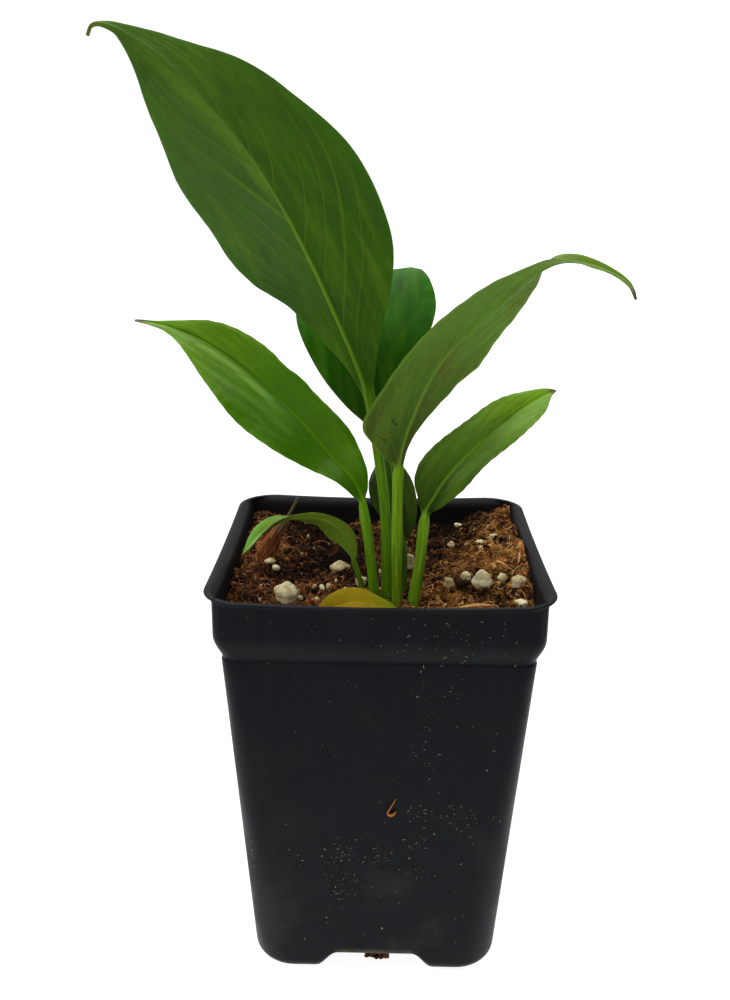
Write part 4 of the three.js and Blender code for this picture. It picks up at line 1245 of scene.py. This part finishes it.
def make_fibres(material):
    """Fine hairs of coir, lying in loose tufts."""
    x, y = scattered(HAIRS, 1.6)
    tufts = rough_at(np.stack([x, y, np.zeros(HAIRS)], -1), 9.0, 2, 4.0)
    heading = 4.5 * tufts + rng.normal(0, 0.9, HAIRS)
    length = rng.uniform(1.5, 6.5, HAIRS)
    bend = rng.normal(0, 1.8, HAIRS)
    rise = rng.uniform(-0.1, 1.3, HAIRS)
    paths, t = strand_paths(x, y, length, heading, bend, rise, rng.normal(0, 0.35, HAIRS))
    radius = rng.uniform(0.04, 0.12, (HAIRS, 1)) * (1 - 1.2 * t**2)
    points, faces = tubes(paths, radius, 3)
    # darker where the soil has painted shade
    tint = 0.58 + 0.9 * soil_shade(x, y) + rng.normal(0, 0.3, HAIRS)
    loose_coir("soil_fibres", points, faces, material, 180, x, y, tint)


def make_shreds(material):
    """Broader shreds and splinters between the hairs."""
    x, y = scattered(SHREDS, 1.8)
    big_x, big_y, big_heading, big_length, big_radius, big_rise, big_tint = np.array(BIG_SHREDS).T
    heading = np.concatenate([rng.uniform(0, math.pi, SHREDS), np.radians(big_heading)])
    length = np.concatenate([rng.uniform(1.5, 5.5, SHREDS), big_length])
    x, y = np.concatenate([x, big_x]), np.concatenate([y, big_y])
    count = len(x)
    rise = np.concatenate([rng.uniform(-0.1, 0.7, SHREDS), big_rise])
    bend = np.concatenate([rng.normal(0, 0.7, SHREDS), np.full(len(big_x), 0.25)])
    paths, t = strand_paths(x, y, length, heading, bend, rise, rng.normal(0, 0.12, count))
    radius = np.concatenate([rng.uniform(0.1, 0.26, SHREDS), big_radius])[:, None]
    radius = radius * (1 - 2.6 * t**2) * (1 + 0.2 * np.sin(21 * t + heading[:, None]))
    points, faces = tubes(paths, radius, 5)
    # darker where the soil has painted shade
    tint = 0.52 + 0.9 * soil_shade(x, y) + rng.normal(0, 0.25, count)
    tint[SHREDS:] = big_tint
    loose_coir("soil_shreds", points, faces, material, 70, x, y, tint)


def make_drain_clump(material):
    """Coir that has worked its way out through the front drain slot."""
    count = 90
    x = rng.normal(0.2, 2.2, count).clip(-4.8, 5.0)
    y = -rng.uniform(SLOT_NEAR + 0.6, SLOT_FAR - 0.2, count)
    z = 2.6 + 5.6 * rng.random(count) + 0.12 * np.abs(x)
    size = rng.uniform(0.5, 1.3, (count, 1)) * rng.uniform(0.7, 1.3, (count, 3))
    points, faces = lumps(np.stack([x, y, z], -1), size, 2, 0.5)
    tint = per_body(0.34 + rng.normal(0, 0.16, count), points)
    new_piece(
        "drain_clump", points, faces.tolist(), material, sharp=60, slot="soil", tint=tint,
        warm=np.zeros(len(points)),
    )


# ---------------------------------------------------------------- perlite and stalk
# How brown each grain is, in the order of PERLITE.
GRAIN_TONES = [0.05, 0.1, 0.0, 0.55, 0.35, 0.3, 0.1, 0.1, 0.1, 0.15, 0.2, 0.0, 0.5, 0.2]


def make_perlite(material):
    points, faces = ball(5)
    px, py, pz = points.T
    for index, (x, y, above, a, b, c) in enumerate(PERLITE):
        swell = 1 + 0.09 * np.sin(5 * px + index * 1.7) * np.sin(4 * py + index)
        swell = swell + 0.07 * np.sin(6 * pz + index * 2.3)
        size = np.array([a, b, c])
        body = points * swell[:, None] * size
        knobs = rough_at(body, 1.6, 3, index + 1.0)
        pits = rough_at(body, 0.55, 2, index + 9.0)
        body = body + points * (0.16 * knobs - 0.28 * smooth(0.25, 0.7, pits))[:, None]
        centre = np.array([x, y, float(soil_height(x, y)) + above])
        new_piece(
            f"perlite_grain_{index + 1:02d}", body + centre, faces.tolist(), material, sharp=180,
            slot="perlite", replaces=[f"perlite_{index + 1:02d}"],
            tone=np.full(len(body), GRAIN_TONES[index]),
        )


# Smaller grains that show between the large ones: x, y, half size.
PERLITE_BITS = [
    (-23.7, -25.8, 0.95), (27.7, 36.6, 1.2), (37.3, 27.3, 0.9), (33.1, 10.0, 0.7), (-33.2, -0.6, 1.1),
    (-10.4, -20.2, 0.8), (-15.8, -15.2, 1.0), (-13.6, -11.9, 0.7), (-17.4, -16.9, 0.9), (-18.8, -24.2, 0.7),
    (-35.8, -25.5, 0.6),
]


def make_perlite_bits(material):
    """The smaller grains, and others strewn at random."""
    extra = 70
    x, y = scattered(extra, 3.0)
    half = 0.22 + 0.5 * rng.random(extra) ** 2
    known = np.array(PERLITE_BITS)
    x = np.concatenate([known[:, 0], x])
    y = np.concatenate([known[:, 1], y])
    half = np.concatenate([known[:, 2], half])
    shape = half[:, None] * rng.uniform(0.75, 1.3, (len(x), 3))
    z = soil_surface(x, y) + 0.5 * half + 0.3
    points, faces = lumps(np.stack([x, y, z], -1), shape, 2, 0.45)
    tone = per_body(0.6 * rng.random(len(x)) ** 2, points)
    new_piece("perlite_bits", points, faces.tolist(), material, sharp=60, slot="perlite", tone=tone)


def make_stalk(material):
    at, knots = curve_through(STALK)
    sides = 28
    marks = np.linspace(0, knots[-1], 110)
    rows = at(marks)
    tangent, normal = carried_frames(at, marks)
    flank = np.cross(tangent, normal)
    a = np.arange(sides) / sides * 2 * math.pi
    far = marks[:, None]
    ridges = 0.14 * np.sin(7 * a[None] + 0.25 * far) + 0.1 * np.sin(12 * a[None] - 0.5 * far)
    ragged = 0.16 * np.sin(3 * a[None] + 0.9 * far) * smooth(26, 10, far)
    radius = rows[:, 3:4] * (1 + ridges + ragged)
    ring = normal[:, None] * np.cos(a)[None, :, None] + flank[:, None] * np.sin(a)[None, :, None]
    points = rows[:, None, :3] + ring * radius[..., None]
    faces = ring_faces(len(marks), sides)
    last = (len(marks) - 1) * sides
    faces.append(list(range(sides))[::-1])
    faces.append(list(range(last, last + sides)))
    new_piece(
        "stalk_dried", points.reshape(-1, 3), faces, material, sharp=70, slot="dry_stalk",
        replaces=["dry_stalk"], run=np.repeat(marks, sides), around=np.tile(a * 2, len(marks)),
    )


def make_stalk_fibres(material):
    """Loose strands around the frayed foot of the stalk."""
    count = 420
    stations = 10
    at, _ = curve_through(STALK)
    t = np.linspace(0, 1, stations)[None]
    start = rng.uniform(6.5, 11.0, (count, 1))
    marks = start + rng.uniform(3.0, 8.5, (count, 1)) * t
    rows = at(marks.ravel()).reshape(count, stations, 4)
    around = rng.uniform(0, 2 * math.pi, (count, 1)) + rng.normal(0, 0.5, (count, 1)) * t
    splay = rng.uniform(0.9, 1.45, (count, 1)) + rng.uniform(0, 0.7, (count, 1)) * (1 - t) ** 2
    out = rows[..., 3] * splay
    paths = rows[..., :3] + np.stack([out * np.cos(around), out * np.sin(around), np.zeros(out.shape)], -1)
    paths = paths + rng.normal(0, 0.06, paths.shape)
    radius = rng.uniform(0.07, 0.2, (count, 1)) * (1 - 0.7 * t)
    points, faces = tubes(paths, radius, 4)
    new_piece(
        "stalk_strands", points, faces, material, sharp=180, slot="dry_stalk",
        run=per_body(marks.mean(1), points), around=per_body(around[:, 0] * 3, points),
    )


# ---------------------------------------------------------------- flecks
# Dust on the front wall: x, height, length, tilt in degrees.
FRONT_FLECKS = [
    (9.5, 127.7, 0.9, 10), (12.5, 126.2, 0.7, 60), (7.9, 122.8, 1.2, 40), (5.4, 125.2, 0.6, 0),
    (18.9, 126.0, 1.0, 120), (28.2, 127.4, 0.7, 20), (34.7, 125.1, 1.1, 80), (34.5, 123.3, 0.9, 50),
    (18.4, 115.6, 1.4, 30), (24.6, 116.1, 1.2, 150), (24.1, 114.5, 0.9, 20), (11.8, 110.8, 0.8, 70),
    (17.7, 112.8, 0.9, 10), (38.4, 113.2, 0.7, 40), (11.3, 118.9, 0.6, 90), (-2.2, 127.8, 0.6, 20),
    (-11.0, 121.2, 0.8, 30), (-31.5, 112.8, 1.0, 20), (-0.6, 48.9, 0.8, 15), (10.3, 45.5, 0.8, 80),
    (22.5, 65.1, 0.7, 40), (1.0, 66.0, 0.6, 100),
]
# Where dust has gathered on the front: x, height, reach across and up, number of specks.
DUST_PATCHES = [
    (-11, 48, 4, 6, 40), (-10.5, 38, 4, 5, 30), (-9.7, 31.6, 3.5, 2, 20), (-0.3, 45, 5, 2.2, 36),
    (12.4, 61.6, 6, 2.5, 28), (27, 60, 7, 5, 44), (12.4, 50.5, 4, 2.5, 22), (11.8, 39.5, 3, 3, 16),
    (-37.5, 47, 1.5, 7, 30), (14, 90, 5, 10, 16), (17.5, 104, 8, 3, 14), (14, 121, 12, 5, 22),
    (31, 122, 9, 5, 14),
]
LOOSE_FLECKS = 420        # over all four sides
DUST_STOPS = [(0.0, (96, 88, 74)), (0.6, (150, 140, 120)), (0.9, (168, 128, 76)), (1.0, (196, 190, 176))]
SHRED_STOPS = [(0.0, (120, 66, 24)), (0.6, (186, 116, 52)), (1.0, (214, 166, 96))]
# Middle of the hooked shred on the front wall: x, height, distance from the wall.
SHRED = [
    (5.6, 67.4, 0.30), (4.9, 65.8, 0.35), (4.0, 64.0, 0.45), (3.3, 62.5, 0.6), (3.8, 61.8, 0.8),
    (5.0, 62.1, 0.9), (5.8, 63.1, 0.7),
]


def fleck_places():
    """For every fleck: place across, height, length, tilt, and which side of the pot it is on."""
    loose = LOOSE_FLECKS
    x = rng.uniform(-36, 36, loose)
    z = np.where(rng.random(loose) < 0.6, rng.uniform(8, 70, loose), rng.uniform(70, 128, loose))
    flecks = [(x * body_half(z) / BODY_TOP_HALF, z, 0.25 + 0.9 * rng.random(loose) ** 4)]
    on_sides = rng.integers(0, 4, loose)
    for mid_x, mid_z, reach_x, reach_z, number in DUST_PATCHES:
        x = rng.normal(mid_x, reach_x / 1.6, number).clip(-38, 38)
        z = rng.normal(mid_z, reach_z / 1.6, number).clip(9, 128)
        flecks.append((x, z, 0.12 + 0.6 * rng.random(number) ** 3))
    known = np.array(FRONT_FLECKS).T
    x, z, length = np.concatenate([known[:3]] + [np.array(rows) for rows in flecks], axis=1)
    tilt = np.concatenate([known[3], rng.uniform(0, 180, len(x) - len(known[3]))])
    side = np.zeros(len(x))
    side[len(known[3]):][:loose] = on_sides
    return x, z, length, np.radians(tilt), side


def make_flecks():
    """Short fibres and grains of dust that cling to the outside of the pot."""
    x, z, length, tilt, side = fleck_places()
    count = len(x)
    t = np.linspace(-0.5, 0.5, 5)[None]
    bend = rng.normal(0, 1.2, (count, 1))
    along_x = x[:, None] + length[:, None] * t * np.cos(tilt[:, None] + bend * t)
    along_z = z[:, None] + length[:, None] * t * np.sin(tilt[:, None] + bend * t)
    out = wall_at(along_z) + 0.03
    turn = side[:, None] * math.pi / 2
    px = along_x * np.cos(turn) + out * np.sin(turn)
    py = along_x * np.sin(turn) - out * np.cos(turn)
    radius = rng.uniform(0.05, 0.11, (count, 1)) * (1 - 1.5 * t**2)
    points, faces = tubes(np.stack([px, py, along_z], -1), radius)
    tint = per_body(rng.uniform(0, 1, count), points)
    material = tinted_material("fleck_dust", DUST_STOPS, 0.3, 0.9, 0.05)
    new_piece("pot_flecks", points, faces, material, sharp=180, slot="soil", tint=tint)


def make_curl():
    """A shred of coir, hooked at its foot, on the front wall."""
    x, z, off = np.array(SHRED).T
    at, knots = curve_through(np.stack([x, -(wall_at(z) + off), z], -1))
    marks = np.linspace(0, knots[-1], 26)
    radius = np.interp(marks / knots[-1], [0, 0.5, 0.8, 1], [0.1, 0.22, 0.42, 0.12])
    points, faces = tubes(at(marks)[None], radius[None], 8)
    material = tinted_material("shred_coir", SHRED_STOPS, 0.5, 0.8, 0.1)
    tint = np.full(len(points), 0.5)
    new_piece("pot_shred", points, faces, material, sharp=180, slot="soil", tint=tint)


# ---------------------------------------------------------------- studio
CAMERA_PLACE = (-1.0, -306.0, 246.0)
CAMERA_YAW = -0.76
CAMERA_PITCH = 17.93
CAMERA_ROLL = 0.62
FOCAL_PIXELS = 1025.0
IMAGE_HEIGHT = 1000.0


def make_camera():
    yaw, pitch, roll = (math.radians(v) for v in (CAMERA_YAW, CAMERA_PITCH, CAMERA_ROLL))
    ahead = np.array([math.sin(yaw) * math.cos(pitch), math.cos(yaw) * math.cos(pitch), -math.sin(pitch)])
    level = np.array([math.cos(yaw), -math.sin(yaw), 0.0])
    upright = np.cross(level, ahead)
    right = math.cos(roll) * level + math.sin(roll) * upright
    up = -math.sin(roll) * level + math.cos(roll) * upright
    data = bpy.data.cameras.new("camera")
    data.sensor_width = 36.0
    data.lens = data.sensor_width * FOCAL_PIXELS / IMAGE_HEIGHT
    data.clip_start, data.clip_end = 0.01, 20.0
    camera = add_object("camera", data)
    matrix = Matrix((right, up, -ahead)).transposed().to_4x4()
    matrix.translation = Vector(CAMERA_PLACE) * MM
    camera.matrix_world = matrix
    bpy.context.scene.camera = camera


def make_floor():
    """White paper that glows: painted light keeps it white behind and under the pot, without a contact
    shadow, and it glows less and is greyer in front of it.
    """
    size = 3.0
    mesh = bpy.data.meshes.new("floor")
    corners = [(-size, -size, 0), (size, -size, 0), (size, size, 0), (-size, size, 0)]
    mesh.from_pydata(corners, [], [(0, 1, 2, 3)])
    s = Shader("floor_paper_glow")
    depth = s.node("SeparateXYZ", {0: s.place()}).outputs[1]
    colour = s.ramp(s.noise(900, 2.0), [(0.0, (138, 138, 138)), (1.0, (144, 144, 144))])
    s.set(Base_Color=colour, Roughness=0.9, Specular_IOR_Level=0.05, Emission_Color=(1.0, 1.0, 1.0, 1.0))
    # the glow is painted light: strong behind and under the pot, weaker in front of it
    s.set(Emission_Strength=s.span(depth, -0.32, -0.05, 0.5, 0.93))
    mesh.materials.append(s.material)
    floor = add_object("floor", mesh)


def soft_sun(name, source, strength, spread):
    """Broad, even light from the direction of source."""
    data = bpy.data.lights.new(name, "SUN")
    data.energy = strength
    data.angle = math.radians(spread)
    lamp = add_object(name, data)
    lamp.location = source
    lamp.rotation_euler = Vector(source).to_track_quat("Z", "Y").to_euler()


def make_world():
    """White around the camera's view, softer grey for what the object reflects and is lit by."""
    world = bpy.data.worlds.new("studio")
    world.use_nodes = True
    nodes, links = world.node_tree.nodes, world.node_tree.links
    seen = nodes["Background"]
    seen.inputs["Color"].default_value = (1, 1, 1, 1)
    seen.inputs["Strength"].default_value = 1.05
    around = nodes.new("ShaderNodeBackground")
    direction = nodes.new("ShaderNodeTexCoord")
    split = nodes.new("ShaderNodeSeparateXYZ")
    back = nodes.new("ShaderNodeMapRange")
    for key, value in {"From Min": -0.6, "From Max": 0.8, "To Min": 0.12, "To Max": 0.8}.items():
        back.inputs[key].default_value = value
    links.new(direction.outputs["Generated"], split.inputs[0])
    links.new(split.outputs[1], back.inputs["Value"])
    links.new(back.outputs[0], around.inputs["Strength"])
    path = nodes.new("ShaderNodeLightPath")
    choose = nodes.new("ShaderNodeMixShader")
    links.new(path.outputs["Is Camera Ray"], choose.inputs[0])
    links.new(around.outputs[0], choose.inputs[1])
    links.new(seen.outputs[0], choose.inputs[2])
    links.new(choose.outputs[0], nodes["World Output"].inputs["Surface"])
    bpy.context.scene.world = world


def make_studio():
    make_camera()
    make_floor()
    make_world()
    soft_sun("top_soft", (-0.2, 0.25, 1.0), 2.9, 80)
    soft_sun("front_soft", (-0.5, -1.0, 0.9), 1.05, 60)
    bpy.context.scene.view_settings.view_transform = "Standard"


# ---------------------------------------------------------------- the object
make_studio()
for leaf_name, leaf_rows in LEAVES.items():
    make_leaf(leaf_name, leaf_rows)
make_pot(pot_material())
make_soil(coir_material("soil_coir", 0.9, 0.26, 0.5))
coir_look = coir_material("coir_loose", 0.5, 0.14, 0.2)
for make_loose in (make_crumbs, make_fibres, make_shreds, make_drain_clump):
    make_loose(coir_look)
grain_look = perlite_material()
make_perlite(grain_look)
make_perlite_bits(grain_look)
stalk_look = stalk_material()
make_stalk(stalk_look)
make_stalk_fibres(stalk_look)
make_flecks()
make_curl()
